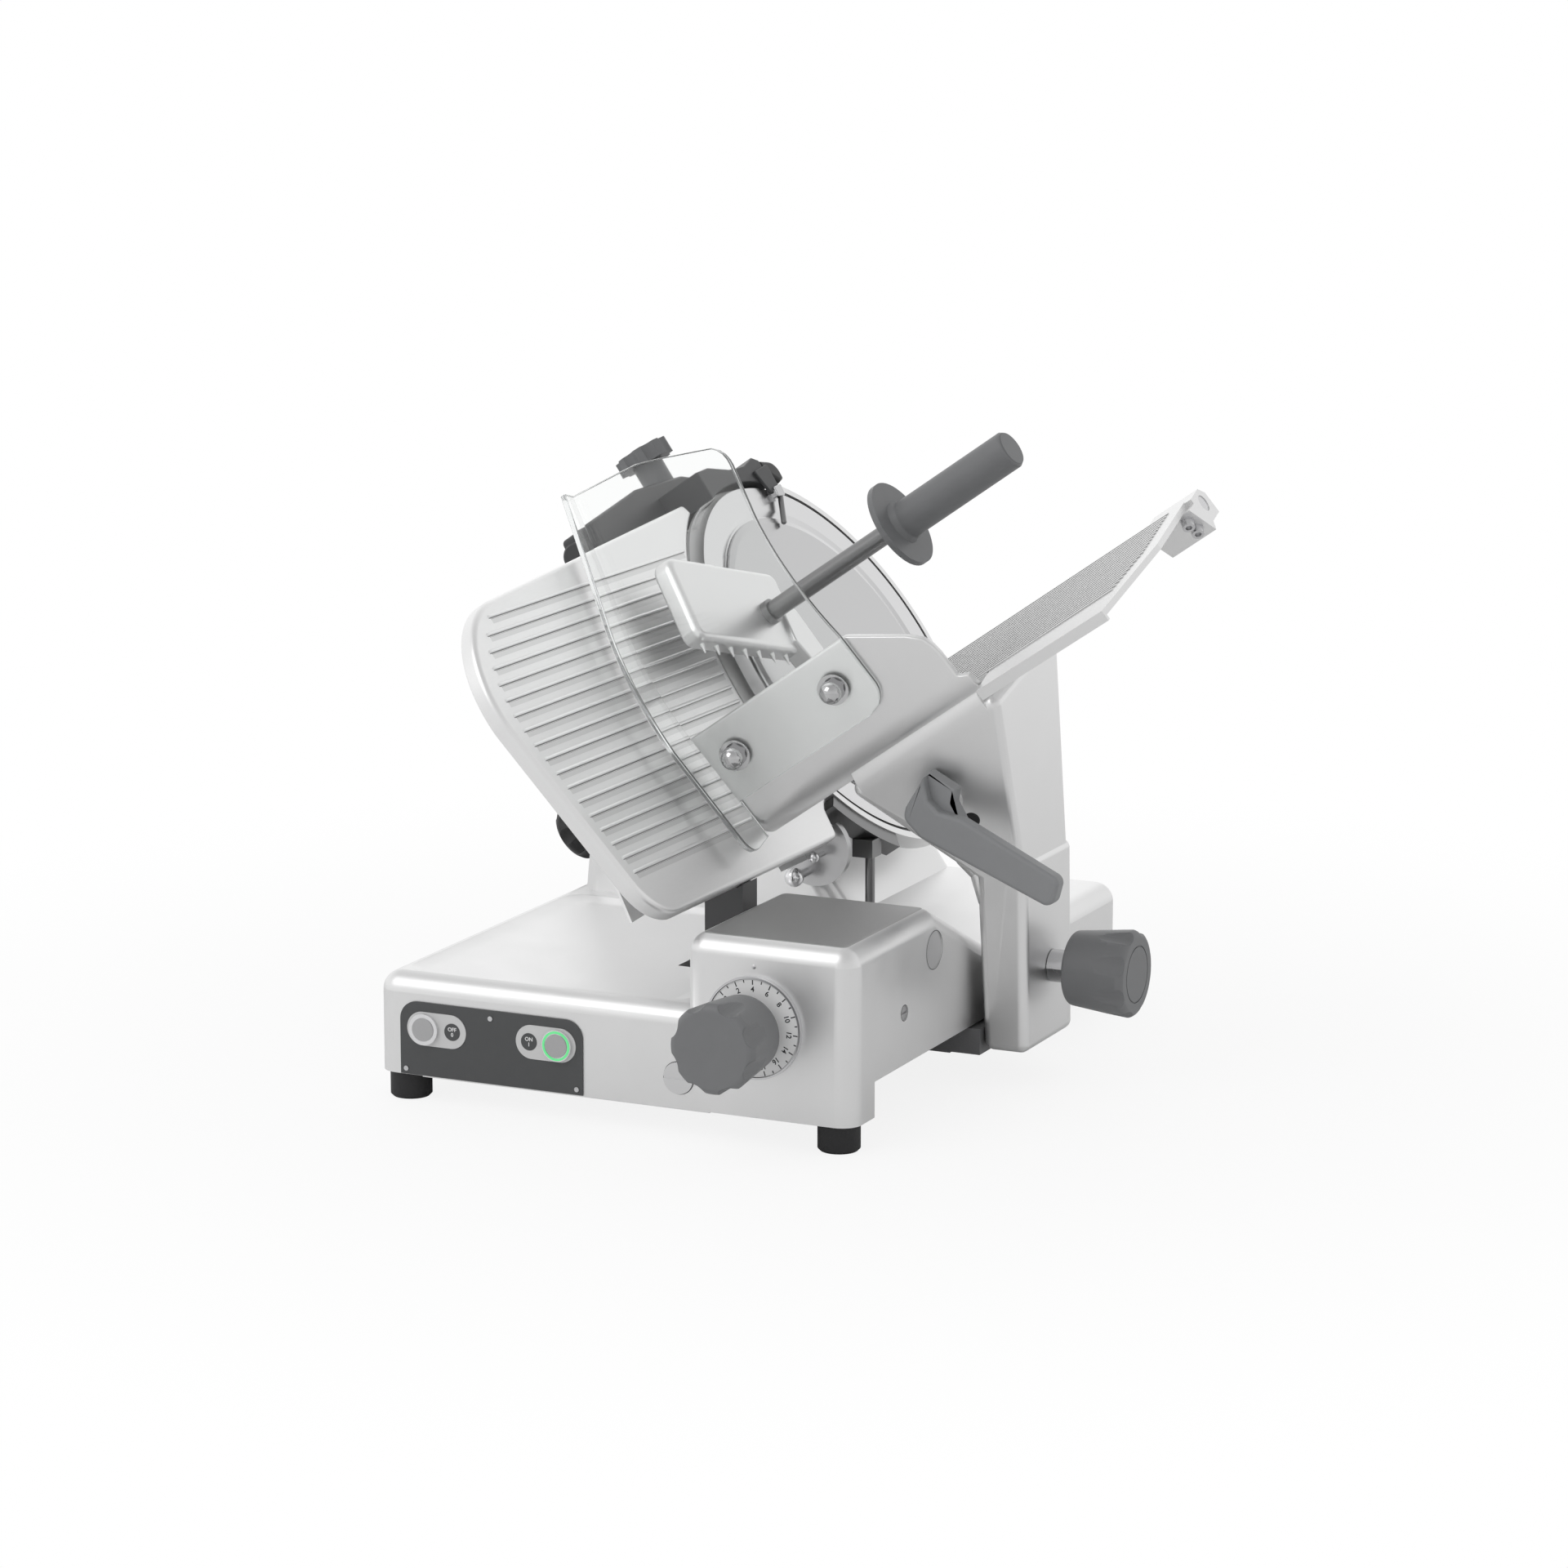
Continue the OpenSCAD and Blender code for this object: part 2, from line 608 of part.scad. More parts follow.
module gauge_plate() color("silver") in_blade() {
    difference() {
        translate([0, 0, gauge_back]) linear_extrude(plate_t) plate_outline();
        translate([0, 0, gauge_back - 1]) difference() {
            linear_extrude(plate_t - plate_face_t + 1) plate_pocket();
            translate([column_y - blade_y - 4, -80 - blade_v, -1]) cube([column_d + 8, 150, plate_t + 2]);
        }
    }
    intersection() {
        for (i = [0:plate_ribs - 1]) translate([-blade_y - 80, rib_low + i * plate_rib_pitch - blade_v,
            -slice_gap - rib_r + rib_rise]) rotate([0, 90, 0]) cylinder(r = rib_r, h = blade_y + 20,
                $fn = 24);
        translate([20, 0, -slice_gap - 1]) linear_extrude(4) plate_outline();
        translate([0, 0, -slice_gap - 1]) linear_extrude(4) difference() {
            translate([-blade_y - 80, -blade_v - 30]) square([blade_y + 80, 340]);
            circle(d = blade_d + 2 * blade_side_gap + 12, $fn = 128);
        }
    }
}

deflector_t = 2;
deflector_z = tower_face - deflector_t;
disc_t = 7;
disc_at = [233, 136];
disc_d = 61;
deflector_end = tower_front - disc_t;
module slice_deflector() color("gainsboro") in_blade() translate([-blade_y, -blade_v, deflector_z])
    linear_extrude(deflector_t) polygon([[12, -12], [80, -8], [86, 76], [deflector_end - 54, 76],
        [deflector_end - 50, -26], [deflector_end, -26], [deflector_end, 190], [120, 170], [22, 22]]);

// Rounded plate on the front of the tower that holds the deflector and its two pins
module deflector_bracket() color("#5b5d60") difference() {
    in_base() translate([0, tower_front, 0]) rotate([90, 0, 0]) linear_extrude(disc_t)
        translate(disc_at) circle(d = disc_d);
    in_blade() translate([-blade_y, -blade_v - 14, tower_face + 6]) cube([blade_y, blade_v, 80]);
}

// Centre across and above the base, distance from the disc and ball diameter of each pin
pins = [[225.5, 116.5, 22, 16], [241, 133.5, 17, 9]];
module deflector_pins() color("whitesmoke") for (p = pins) in_base() translate([p[0], deflector_end, p[1]])
    rotate([90, 0, 0]) {
        cylinder(d = p[3] / 2, h = p[2]);
        translate([0, 0, p[2]]) sphere(d = p[3]);
    }

// Blade, its ring guard, cover and drive
ring_r = blade_d / 2 + 3 + ring_t;
ring_back = -16;
ring_pan_t = 3;
ring_front = 0.4;
ring_start = -146;
ring_sweep = 212;
housing_nose_d = 80;
ring_bore = housing_nose_d / 2 - 8;
back_pan_r = blade_d / 2 + 5;
module ring_guard() color("gainsboro") in_blade() {
    translate([0, 0, ring_back]) difference() {
        cylinder(r = back_pan_r, h = ring_pan_t, $fn = 128);
        translate([0, 0, -1]) cylinder(r = ring_bore, h = ring_pan_t + 2);
    }
    rotate([0, 0, ring_start]) rotate_extrude(angle = ring_sweep, $fn = 128)
        polygon([[ring_r - ring_t, ring_back],
        [ring_r, ring_back], [ring_r, ring_front], [ring_r - ring_t, ring_front]]);
}

// Stay between the ring guard and the deck
stay_reach = 16.9;
stay_turn = -125.92;
stay_depth = -10.82;
stay_r = ring_r + stay_reach;
stay_at = at(blade_y + stay_r * cos(stay_turn), blade_v + stay_r * sin(stay_turn), plane_u + stay_depth);
stay_d = 8;
stay_seat = 10;
stay_z = stay_at[2];
stay_band = 12;
module ring_stay() color("#77797c") {
    in_base() translate([stay_at[0], stay_at[1], deck_h - stay_seat])
        cylinder(d = stay_d, h = stay_z - deck_h + stay_seat);
    difference() {
        in_base() translate([stay_at[0] - 12, stay_at[1] - 9, stay_z - 7]) cube([18, 18, 15]);
        in_blade() translate([0, 0, -40]) cylinder(r = ring_r + run_gap, h = 80, $fn = 128);
    }
    in_blade() rotate([0, 0, ring_start + 3]) rotate_extrude(angle = 26, $fn = 128)
        translate([ring_r + run_gap, ring_back]) square([stay_band, 15]);
}

blade_core = 20;
cover_d = blade_d - 2 * blade_rim;
module blade() color("gainsboro") in_blade() rotate_extrude($fn = 128)
    polygon([[blade_core, -5], [blade_d / 2 - 25, -5],
    [blade_d / 2 - 15, -3.5], [blade_d / 2, -0.4], [blade_d / 2, 0], [cover_d / 2 + 7, 0],
    [cover_d / 2 + 2, -2], [blade_core, -2]]);

hub_d = 90;
hub_back = -12;
blade_screw_pcd = 64;
blade_screw_d = 6;
module screw_circle() for (i = [0:2]) rotate([0, 0, 90 + 120 * i])
    translate([blade_screw_pcd / 2, 0, 0]) children();
module blade_hub() color("silver") in_blade() difference() {
    union() {
        translate([0, 0, hub_back]) cylinder(d = hub_d, h = -5 - hub_back);
        translate([0, 0, -6]) cylinder(r = blade_core - run_gap, h = 3.6);
    }
    translate([0, 0, hub_back - 1]) cylinder(d = shaft_d, h = 20);
    screw_circle() translate([0, 0, hub_back - 1]) cylinder(d = blade_screw_d, h = 20);
}
module blade_screws() color("gray") in_blade() screw_circle() translate([0, 0, hub_back]) {
    cylinder(d = blade_screw_d, h = -5 - hub_back);
}

module blade_shaft() color("lightgray") in_blade() difference() {
    union() {
        translate([0, 0, belt_z - 10]) cylinder(d = shaft_d, h = -2.6 - belt_z + 10);
        translate([0, 0, belt_z - belt_w / 2]) cylinder(d = blade_pulley_d, h = belt_w);
        for (s = [-1, 1]) translate([0, 0, belt_z + s * (belt_w / 2 + 1) - 1])
            cylinder(d = blade_pulley_d + 6, h = 2);
    }
    translate([0, 0, belt_z - 20]) cylinder(d = tie_bore, h = 200);
}

cover_back = -1.4;
module blade_cover() color("whitesmoke") in_blade() {
    rotate_extrude($fn = 128) polygon([[0, cover_back], [cover_d / 2, cover_back], [cover_d / 2 - 0.5, 0.2],
        [cover_d / 2 - 6, 1.4], [0, 2.2]]);
    translate([0, 0, -tie_len]) cylinder(d = tie_d, h = tie_len + 0.5);
}

cover_knob_d = 52;
cover_knob_len = 30;
module cover_knob() color("#202124") in_blade() translate([0, 0, boss_end - side_gap - cover_knob_len])
    difference() {
    rotate_extrude() polygon(concat([[0, 0]], arc(cover_knob_d / 2 - 8, 8, 8, -90, 0, 6),
        [[cover_knob_d / 2 - 4, cover_knob_len], [0, cover_knob_len]]));
    for (i = [0:5]) rotate([0, 0, 60 * i]) translate([cover_knob_d / 2 + 5, 0, -1])
        cylinder(r = 9, h = cover_knob_len + 2);
    translate([0, 0, cover_knob_len - 24]) cylinder(d = tie_d + 2 * run_gap, h = 30);
}

bearing_at = [tower_face - 2, tower_face - 36];
module bearing_housing() color("#8a8c8f") in_blade() difference() {
    union() {
        translate([0, 0, belt_z + 11]) cylinder(d = housing_tube_d, h = tower_face - belt_z - 11);
        translate([0, 0, tower_face]) cylinder(d = housing_flange_d, h = housing_flange_t);
        translate([0, 0, tower_face]) cylinder(d = housing_nose_d, h = ring_back - tower_face);
    }
    translate([0, 0, belt_z]) cylinder(d = shaft_d + 4, h = 200);
    translate([0, 0, bearing_at[1] - bearing_w])
        cylinder(d = bearing_d, h = bearing_at[0] - bearing_at[1] + bearing_w);
}
module blade_bearings() color("gainsboro") for (z = bearing_at) in_blade() translate([0, 0, z - bearing_w])
    tube(bearing_d, shaft_d + 2 * run_gap, bearing_w);

// Belt as one closed loop round both pulleys
belt_lift = side_gap;
module belt_loop(grow) hull() {
    circle(d = blade_pulley_d + 2 * grow, $fn = 48);
    translate([0, -pulley_span]) circle(d = motor_pulley_d + 2 * grow, $fn = 48);
}
module drive_belt() color("#232427") in_blade() translate([0, 0, belt_z - belt_w / 2 + side_gap])
    linear_extrude(belt_w - 2 * side_gap) difference() {
        belt_loop(belt_lift + belt_t);
        belt_loop(belt_lift);
    }
module motor_pulley() color("gray") in_blade() translate([0, -pulley_span, 0]) {
    translate([0, 0, belt_z - belt_w / 2]) cylinder(d = motor_pulley_d, h = belt_w);
    for (s = [-1, 1]) translate([0, 0, belt_z + s * (belt_w / 2 + 1) - 1])
        cylinder(d = motor_pulley_d + 6, h = 2);
    translate([0, 0, motor_front - 20]) cylinder(d = motor_shaft_d, h = belt_z - motor_front + 22);
}
module motor() color("#3c4a5a") in_blade() translate([0, -pulley_span, motor_front - motor_len])
    difference() {
    union() {
        cylinder(d = motor_d, h = motor_len - 6);
        translate([0, 0, motor_len - 6]) cylinder(d = motor_d - 14, h = 5);
        for (a = [45:90:315]) rotate([0, 0, a]) translate([motor_d / 2 - 2, -4, 10])
            cube([motor_fin + 1.8, 8, motor_len - 30]);
    }
    translate([0, 0, motor_len - 24]) cylinder(d = motor_shaft_d + 2 * run_gap, h = 30);
}

// Sharpener: a body behind the blade's top and a hood that reaches forward over its edge
sharp_low = blade_d / 2 - 13;
sharp_top = blade_d / 2 + 38;
sharp_left = -187;
sharp_right = 61;
sharp_back = -74;
sharp_front = -41;
hood_left = -50;
hood_front = 2.5;
hood_gap = 5.4;
module sharpener_body() color("#4d4f52") in_blade() {
    translate([0, 0, sharp_back]) linear_extrude(sharp_front - sharp_back) polygon([
        [sharp_left, sharp_low], [sharp_left + 9, sharp_top - 15], [-74, sharp_top], [10, sharp_top],
        [sharp_right, sharp_top - 12], [sharp_right, sharp_top - 28], [-20, sharp_top - 28],
            [-34, sharp_low]]);
    difference() {
        translate([0, 0, sharp_front - 1]) linear_extrude(hood_front - sharp_front + 1) polygon([
            [hood_left, sharp_low + 8], [hood_left, sharp_top - 14], [-28, sharp_top - 13],
                [6, sharp_top - 20],
            [32, sharp_top - 20], [52, sharp_top - 15], [sharp_right, sharp_top - 19],
            [sharp_right, sharp_top - 30], [sharp_right - 4, sharp_low]]);
        translate([0, 0, sharp_front - 2])
            cylinder(d = blade_d + 2 * hood_gap, h = hood_front - sharp_front + 4, $fn = 128);
    }
    translate([sharp_left - 13, sharp_low + 16, (sharp_back + sharp_front) / 2]) rotate([0, 90, 0])
        cylinder(d = 24, h = 30);
    translate([post_x, tower_top - blade_v - 20, post_z]) rotate([-90, 0, 0])
        cylinder(d = post_d, h = sharp_low - tower_top + blade_v + 24);
}

finger_t = 3;
cap_back = -8;
module sharpener_cap() color("#1e1f21") in_blade() {
    translate([sharp_right, 0, cap_back]) linear_extrude(hood_front - cap_back) polygon(concat(
        [[0, sharp_top - 30], [0, sharp_top - 19]], arc(14, sharp_top - 34, 12, 80, 0, 6),
        [[25, sharp_top - 41], [17, sharp_top - 43]]));
    translate([0, 0, hood_front]) linear_extrude(finger_t) polygon([[sharp_right - 23, sharp_top - 28],
        [sharp_right + 5, sharp_top - 25], [sharp_right - 1, sharp_top - 54],
            [sharp_right - 32, sharp_top - 80],
        [sharp_right - 37, sharp_top - 76], [sharp_right - 14, sharp_top - 56]]);
}

sharp_knob_x = -2;
sharp_knob_d = 48;
sharp_knob_len = 14;
collar_d = 26;
collar_h = 22;
module sharpener_knob() color("#6b6d70") in_blade()
    translate([sharp_knob_x, sharp_top + side_gap, (sharp_back + sharp_front) / 2]) rotate([-90, 0, 0]) {
        cylinder(d = collar_d, h = collar_h);
        translate([0, 0, collar_h]) difference() {
            cylinder(d = sharp_knob_d, h = sharp_knob_len);
            for (i = [0:7]) rotate([0, 0, 45 * i]) translate([sharp_knob_d / 2 + 5, 0, -1])
                cylinder(r = 8, h = sharp_knob_len + 2);
        }
    }

// Carriage
module carriage_rail() color("lightgray") in_base() translate([rail_x, rail_seat - 2, rail_z])
    rotate([-90, 0, 0])
    cylinder(d = rail_d, h = base_d - 2 * rail_seat + 4);
module carriage_track() color("lightgray") in_base() translate([track_x, rail_seat - 2, track_z])
    cube([track_w, base_d - 2 * rail_seat + 4, track_h]);

board_y = 40;
module control_board() color("#2f6b45") in_base() {
    translate([panel_x, board_y, 10]) cube([panel_w, 1.6, 52]);
    for (x = [panel_x + 48, panel_x + panel_w - 48], z = [16, 56]) translate([x, wall, z]) rotate([-90, 0, 0])
        cylinder(d = 7, h = board_y - wall + 1);
    translate([panel_x + 55, board_y + 1, 22]) cube([28, 20, 24]);
    translate([panel_x + 95, board_y + 1, 20]) cube([22, 16, 28]);
}

module cable_gland() color("#2a2b2d") in_base() translate([gland_x, base_d, gland_z]) rotate([-90, 0, 0])
    difference() {
    union() {
        cylinder(d = 30, h = 6, $fn = 6);
        cylinder(d = 24, h = 18);
        translate([0, 0, -wall - 4]) cylinder(d = gland_d, h = wall + 5);
    }
    translate([0, 0, -wall - 5]) cylinder(d = 9, h = 60);
}

arm_x = base_w + 8;
arm_t = 38;
arm_top_t = 34;
arm_y = 229;
arm_d = 98;
arm_low = 8;
block_y = arm_y - 4;
block_left = track_x - 6;
block_right = base_w - 18;
bridge_low = 5;
module slide_block() color("#6a6c6f") in_base() difference() {
    union() {
        translate([track_x + track_w + 8, block_y, 4])
            cube([block_right - track_x - track_w - 8, block_len, 42]);
        translate([block_left, block_y, 5]) cube([40, block_len, 40]);
        translate([block_right - 2, block_y, bridge_low])
            cube([arm_x - side_gap - block_right + 2, block_len, side_clear_h - 2 - bridge_low]);
    }
    translate([rail_x, block_y - 1, rail_z]) rotate([-90, 0, 0])
        cylinder(d = rail_d + 2 * run_gap, h = block_len + 2);
    translate([track_x - side_gap, block_y - 1, track_z - side_gap])
        cube([track_w + 2 * side_gap, block_len + 2, track_h + 2 * side_gap]);
}

lock_y = arm_y + 51;
lock_z = 70;
lock_d = 26;
lock_bore = 16;
lock_stub = 18;
lock_len = 54;
groove_t = 0.8;
arm_r = 8;
arm_fn = 24;
arm_flare = 5;
arm_wall = 6;
arm_knee = 158;
arm_front = 12;
arm_back = 122;
arm_left = 98;
// Feed position at which the arm's top corner lies over its column, for a place across the tray
function arm_right(w) = (arm_x + arm_top_t - arm_r
    - at(0, tray_v + w * sin(lean) - arm_r * cos(lean), plane_u)[0]) / cos(tilt);
module arm_corner(x, y, z, r = arm_r) in_base() translate([x, y, z]) sphere(r = r, $fn = arm_fn);
// Part of the curve between the column and the wedge, through points across the front
module arm_fillet(points) hull() for (p = points, y = [arm_y + 2, arm_y + arm_d - arm_r - 7])
    arm_corner(p[0], y, p[1], arm_r - 1);
// Upright column, leaning forwards a little, and the wedge under the tray that grows out of it
module arm_form() {
    hull() {
        for (x = [arm_x + arm_r, arm_x + arm_t - arm_r], y = [arm_y + arm_r, arm_y + arm_d - arm_r])
            arm_corner(x, y, arm_low + arm_r);
        for (x = [arm_x + arm_r - arm_flare, arm_x + arm_t - arm_r], y = [arm_y + 1, arm_y + arm_d - arm_r - 6])
            arm_corner(x, y, arm_knee);
    }
    arm_fillet([[arm_x - 17.4, arm_knee + 3.8], [arm_x - 6.4, arm_knee - 5.7], [arm_x + 6, arm_knee + 7]]);
    arm_fillet([[arm_x - 4.4, arm_knee - 8.8], [arm_x + 2, arm_knee - 27.8], [arm_x + 6, arm_knee - 28],
        [arm_x + 6, arm_knee - 8]]);
    hull() {
        for (x = [arm_x + arm_r + 1, arm_x + arm_t - arm_r - 1], y = [arm_y + 3, arm_y + arm_d - arm_r - 8])
            arm_corner(x, y, arm_knee - 9, arm_r - 0.5);
        for (w = [arm_front, arm_back], z = [arm_left, arm_right(w)])
            in_tray() translate([w, -arm_r, z]) sphere(r = arm_r, $fn = arm_fn);
    }
}
module arm_pockets() in_base() {
    translate([arm_x + arm_wall, arm_y + 2 * arm_wall, arm_low - 1])
        cube([arm_t - 2 * arm_wall, arm_d - 5 * arm_wall, arm_knee - arm_low]);
    translate([0, arm_y + 2 * arm_wall, 0]) rotate([90, 0, 0]) mirror([0, 0, 1])
        linear_extrude(arm_d - 8 * arm_wall)
        polygon([[arm_x - 62, 226], [arm_x + 16, 280], [arm_x + 16, arm_knee - 10],
            [arm_x + 7, arm_knee - 10]]);
}
handle_seat = [arm_x - 14, 217];
handle_boss_d = 22;
drain_at = [arm_x + 1.5, 196.5];
module carriage_arm() color("silver") difference() {
    union() {
        difference() {
            arm_form();
            arm_pockets();
        }
        in_base() translate([handle_seat[0], handle_y, handle_seat[1]]) rotate([-90, 0, 0])
            cylinder(d = handle_boss_d, h = 40);
        in_base() translate([arm_x + 2, lock_y, lock_z]) rotate([0, 90, 0])
            cylinder(d = lock_d + 8, h = arm_t - 4);
    }
    in_base() translate([arm_x - arm_flare - 1, lock_y, lock_z]) rotate([0, 90, 0])
        cylinder(d = lock_bore + 2 * run_gap, h = arm_t + arm_flare + 2);
    in_base() translate([drain_at[0], handle_y, drain_at[1]]) rotate([-90, 0, 0]) cylinder(d = 11, h = 36);
}

module lock_knob() color("#6b6d70") on_right(arm_x + arm_t + side_gap, lock_y, lock_z) {
    translate([0, 0, -arm_t]) cylinder(d = lock_bore, h = arm_t + 1);
    cylinder(d = lock_d, h = lock_stub);
    translate([0, 0, lock_stub]) difference() {
        fluted_form(lock_len);
        translate([0, 0, lock_len - groove_t]) tube(cap_d, cap_d - 2, 2);
    }
}

handle_y = 180;
handle_t = 24;
bar_t = 13;
tab_t = 14;
// Slanted bar in front and the tab behind it that joins the boss of the arm
module carriage_handle() color("#6b6d70") in_base() translate([arm_x + 6, handle_y, 3]) rotate([90, 0, 0]) {
    translate([0, 0, handle_t - bar_t]) linear_extrude(bar_t)
        polygon(concat([[-27, 237], [-42, 212]], arc(-34, 206, 9, 170, 230, 5), [[-29, 189]],
        arc(76, 154, 8, -108, -15, 6), arc(79, 163, 7.5, -15, 62, 5),
        [[6, 207], [-14, 211], [-23, 219], [-26, 230]]));
    linear_extrude(tab_t)
        polygon([[-27, 237], [-42, 212], [-14, 200], [4, 200], [-6, 217], [-4, 228], [-27, 240]]);
}

tray_start = 6;
table_t = 5;
guide_w = 205;
guide_n = 0;
lug_u = 10;
tray_end = tray_start + tray_len;
module tray_profile() difference() {
    union() {
        translate([tray_r, 0]) square([tray_w - tray_r, tray_t]);
        translate([0, tray_r]) square([tray_t, tray_wall_h - tray_r]);
        translate([tray_r, tray_r]) circle(r = tray_r);
    }
    translate([tray_r, tray_r]) circle(r = tray_r - tray_t);
    translate([tray_r, tray_t]) square([2 * tray_r, 3 * tray_r]);
    translate([tray_t, tray_r]) square([2 * tray_r, 3 * tray_r]);
}
nut_u = [34, 137];
nut_n = 73;
stud_d = 8;
module food_tray() color("silver") in_tray() difference() {
    union() {
        translate([0, 0, tray_start]) linear_extrude(tray_len) tray_profile();
        translate([tray_w - 8, guide_n - 14, tray_start]) cube([guide_w - tray_w + 22, 28, lug_u]);
    }
    // Seat of the table in the rail's lug
    translate([table_in, tray_t, tray_start - 1])
        cube([tray_w + table_edge - table_in, tray_r - tray_t, lug_u + 2]);
    // Wall's far end sweeps down to the floor
    translate([-1, 0, 0]) across_tray() linear_extrude(tray_t + 2) polygon([[tray_wall_h + 1, tray_end - 65],
        [tray_wall_h, tray_end - 65], [tray_wall_h - 27, tray_end - 22], [tray_wall_h - 36, tray_end - 12],
        [tray_wall_h - 52, tray_end - 8], [tray_r, tray_end - 8], [tray_r, tray_end + 1],
        [tray_wall_h + 1, tray_end + 1]]);
    for (z = nut_u) translate([-1, nut_n, z]) rotate([0, 90, 0])
        cylinder(d = stud_d + 2 * run_gap, h = tray_t + 2);
    translate([guide_w, guide_n, tray_start + 4]) cylinder(d = guide_d + 2 * run_gap, h = lug_u);
}
table_in = tray_r + 2;
table_edge = 2;
table_near = -12;
table_u = table_len + 14;
rib_h = 1;
rib_w = 3;
rib_end = 14;
slant_w = 95;
lip_h = 9;
lip_t = 4;
// Feed position of the table's end edge, which slants towards the operator's side
function table_end(w) = w > slant_w ? table_u : table_u - (slant_w - w) * 0.18;
module table_plan(n_top, depth, points) translate([0, n_top, 0]) rotate([90, 0, 0]) linear_extrude(depth)
    polygon(points);
module food_table() color("gainsboro") in_tray() {
    translate([table_in, tray_t, tray_start]) cube([tray_w + table_edge - table_in, table_t, tray_len]);
    table_plan(tray_t + table_t, table_t, [[table_near, tray_end + 2], [tray_w + table_edge, tray_end - 1],
        [tray_w + table_edge, table_u], [slant_w, table_u], [table_near - 8, table_end(table_near - 8)]]);
    // Lip along the table's near edge
    table_plan(tray_t + table_t, lip_h, [[table_near, tray_end + 2], [table_near + lip_t, tray_end + 2],
        [table_near - 8 + lip_t, table_end(table_near - 8)], [table_near - 8, table_end(table_near - 8)]]);
    for (i = [0:table_ribs - 1]) {
        w = table_in + 4 + i * (tray_w - table_in - 8) / (table_ribs - 1);
        translate([w - rib_w / 2, tray_t + table_t - eps, tray_start])
            cube([rib_w, rib_h, table_end(w) - rib_end - tray_start]);
    }
}

// Bracket under the table's far end that holds the guide rail, with a slanted face for its two screws
bracket_u = table_u - 38;
bracket_len = 44;
bracket_low = -21;
slant = [[tray_w - 14, tray_t], [tray_w + 7, bracket_low]];
slant_dir = (slant[1] - slant[0]) / norm(slant[1] - slant[0]);
slant_turn = atan2(slant_dir[1], slant_dir[0]);
screw_d = 5;
screw_head_d = 10;
screw_u = bracket_u + bracket_len - 9;
module on_slant() for (d = [9, 21])
    translate([slant[0][0] + d * slant_dir[0], slant[0][1] + d * slant_dir[1], screw_u])
    rotate([0, 0, slant_turn]) rotate([90, 0, 0]) children();
module table_bracket() color("gainsboro") in_tray() difference() {
    translate([0, 0, bracket_u]) linear_extrude(bracket_len)
        polygon([slant[0], slant[1], [tray_w + 13, bracket_low + 6],
        [guide_w + 15, bracket_low + 6], [guide_w + 15, 4], [guide_w + 7, tray_t + table_t - 1],
        [tray_w + table_edge, tray_t + table_t - 1], [tray_w + table_edge, tray_t]]);
    translate([guide_w, guide_n, bracket_u - 1]) cylinder(d = guide_d + 2 * run_gap, h = bracket_len + 2);
    on_slant() translate([0, 0, -6]) cylinder(d = screw_d, h = 8);
}
module bracket_screws() color("gray") in_tray() on_slant() difference() {
    union() {
        translate([0, 0, -6]) cylinder(d = screw_d, h = 7);
        cylinder(d = screw_head_d + 1.5, h = 1.2);
        translate([0, 0, 1.2]) cylinder(d = screw_head_d, h = 6);
    }
    translate([0, 0, 4]) cylinder(d = 5.8, h = 6, $fn = 6);
}

module pusher_rail() color("lightgray") in_tray() translate([guide_w, guide_n, tray_start + 4])
    cylinder(d = guide_d, h = bracket_u + bracket_len - tray_start - 4.6);

// Hand guard: flat on the wall, bent back over the food, with a flange beside the gauge plate
guard_low = 40;
guard_flat = 105;
guard_steps = 12;
// Points along the guard's profile, moved outwards by a distance that changes evenly from low to high
function guard_curve(low, high) = concat([[-low, guard_low], [-low, guard_flat]],
    [for (i = [0:guard_steps]) let (a = 180 - guard_bend * i / guard_steps,
        r = guard_bend_r + low + (high - low) * i / guard_steps / 2)
        [guard_bend_r + r * cos(a), guard_flat + r * sin(a)]],
    [[guard_bend_r - (guard_bend_r + high) * cos(guard_bend) + guard_top * sin(guard_bend),
      guard_flat + (guard_bend_r + high) * sin(guard_bend) + guard_top * cos(guard_bend)]]);
function reversed(p) = [for (i = [len(p) - 1:-1:0]) p[i]];
flange_top = 16;
flange_start = 4;
guard_u = tray_start + 1;
guard_right = guard_u + guard_w;
guard_high = guard_flat + guard_bend_r * sin(guard_bend) + guard_top * cos(guard_bend);
corner_r = 20;
// Rounded outline of the guard as seen from the operator's side: height over the floor, feed
function guard_outline() = concat(
    [[-corner_r, 0], [guard_high + corner_r, 0], [guard_high, guard_u], [guard_high - 7, guard_u + 68],
     [guard_high - 13, guard_u + 88]],
    arc(guard_high - 49, guard_right - 36, 1.1 * corner_r, 10, 90, 8),
    [[guard_flat + 105, guard_right - 13], [guard_flat + 51, guard_right - 6], [guard_flat, guard_right]],
    arc(guard_low + corner_r, guard_right - corner_r, corner_r, 90, 180, 8),
    [[guard_low, guard_u + corner_r], [-corner_r, guard_u + corner_r]]);
module hand_guard() color("azure", 0.4) in_tray() difference() {
    intersection() {
        translate([0, 0, guard_u]) union() {
            linear_extrude(guard_w)
                polygon(concat(guard_curve(0, 0), reversed(guard_curve(guard_t, guard_t))));
            linear_extrude(guard_t) polygon(concat([[-0.5, flange_start]], guard_curve(0.5, 0.5),
                reversed(guard_curve(flange_w, flange_top)),
                    arc(14 - flange_w, flange_start + 14, 14, 180, 270, 6)));
        }
        translate([-2 * flange_w, 0, 0]) across_tray() linear_extrude(3 * guard_bend_r)
            polygon(guard_outline());
    }
    for (z = nut_u) translate([-guard_t - 1, nut_n, z]) rotate([0, 90, 0])
        cylinder(d = stud_d + 0.6, h = guard_t + 2);
}

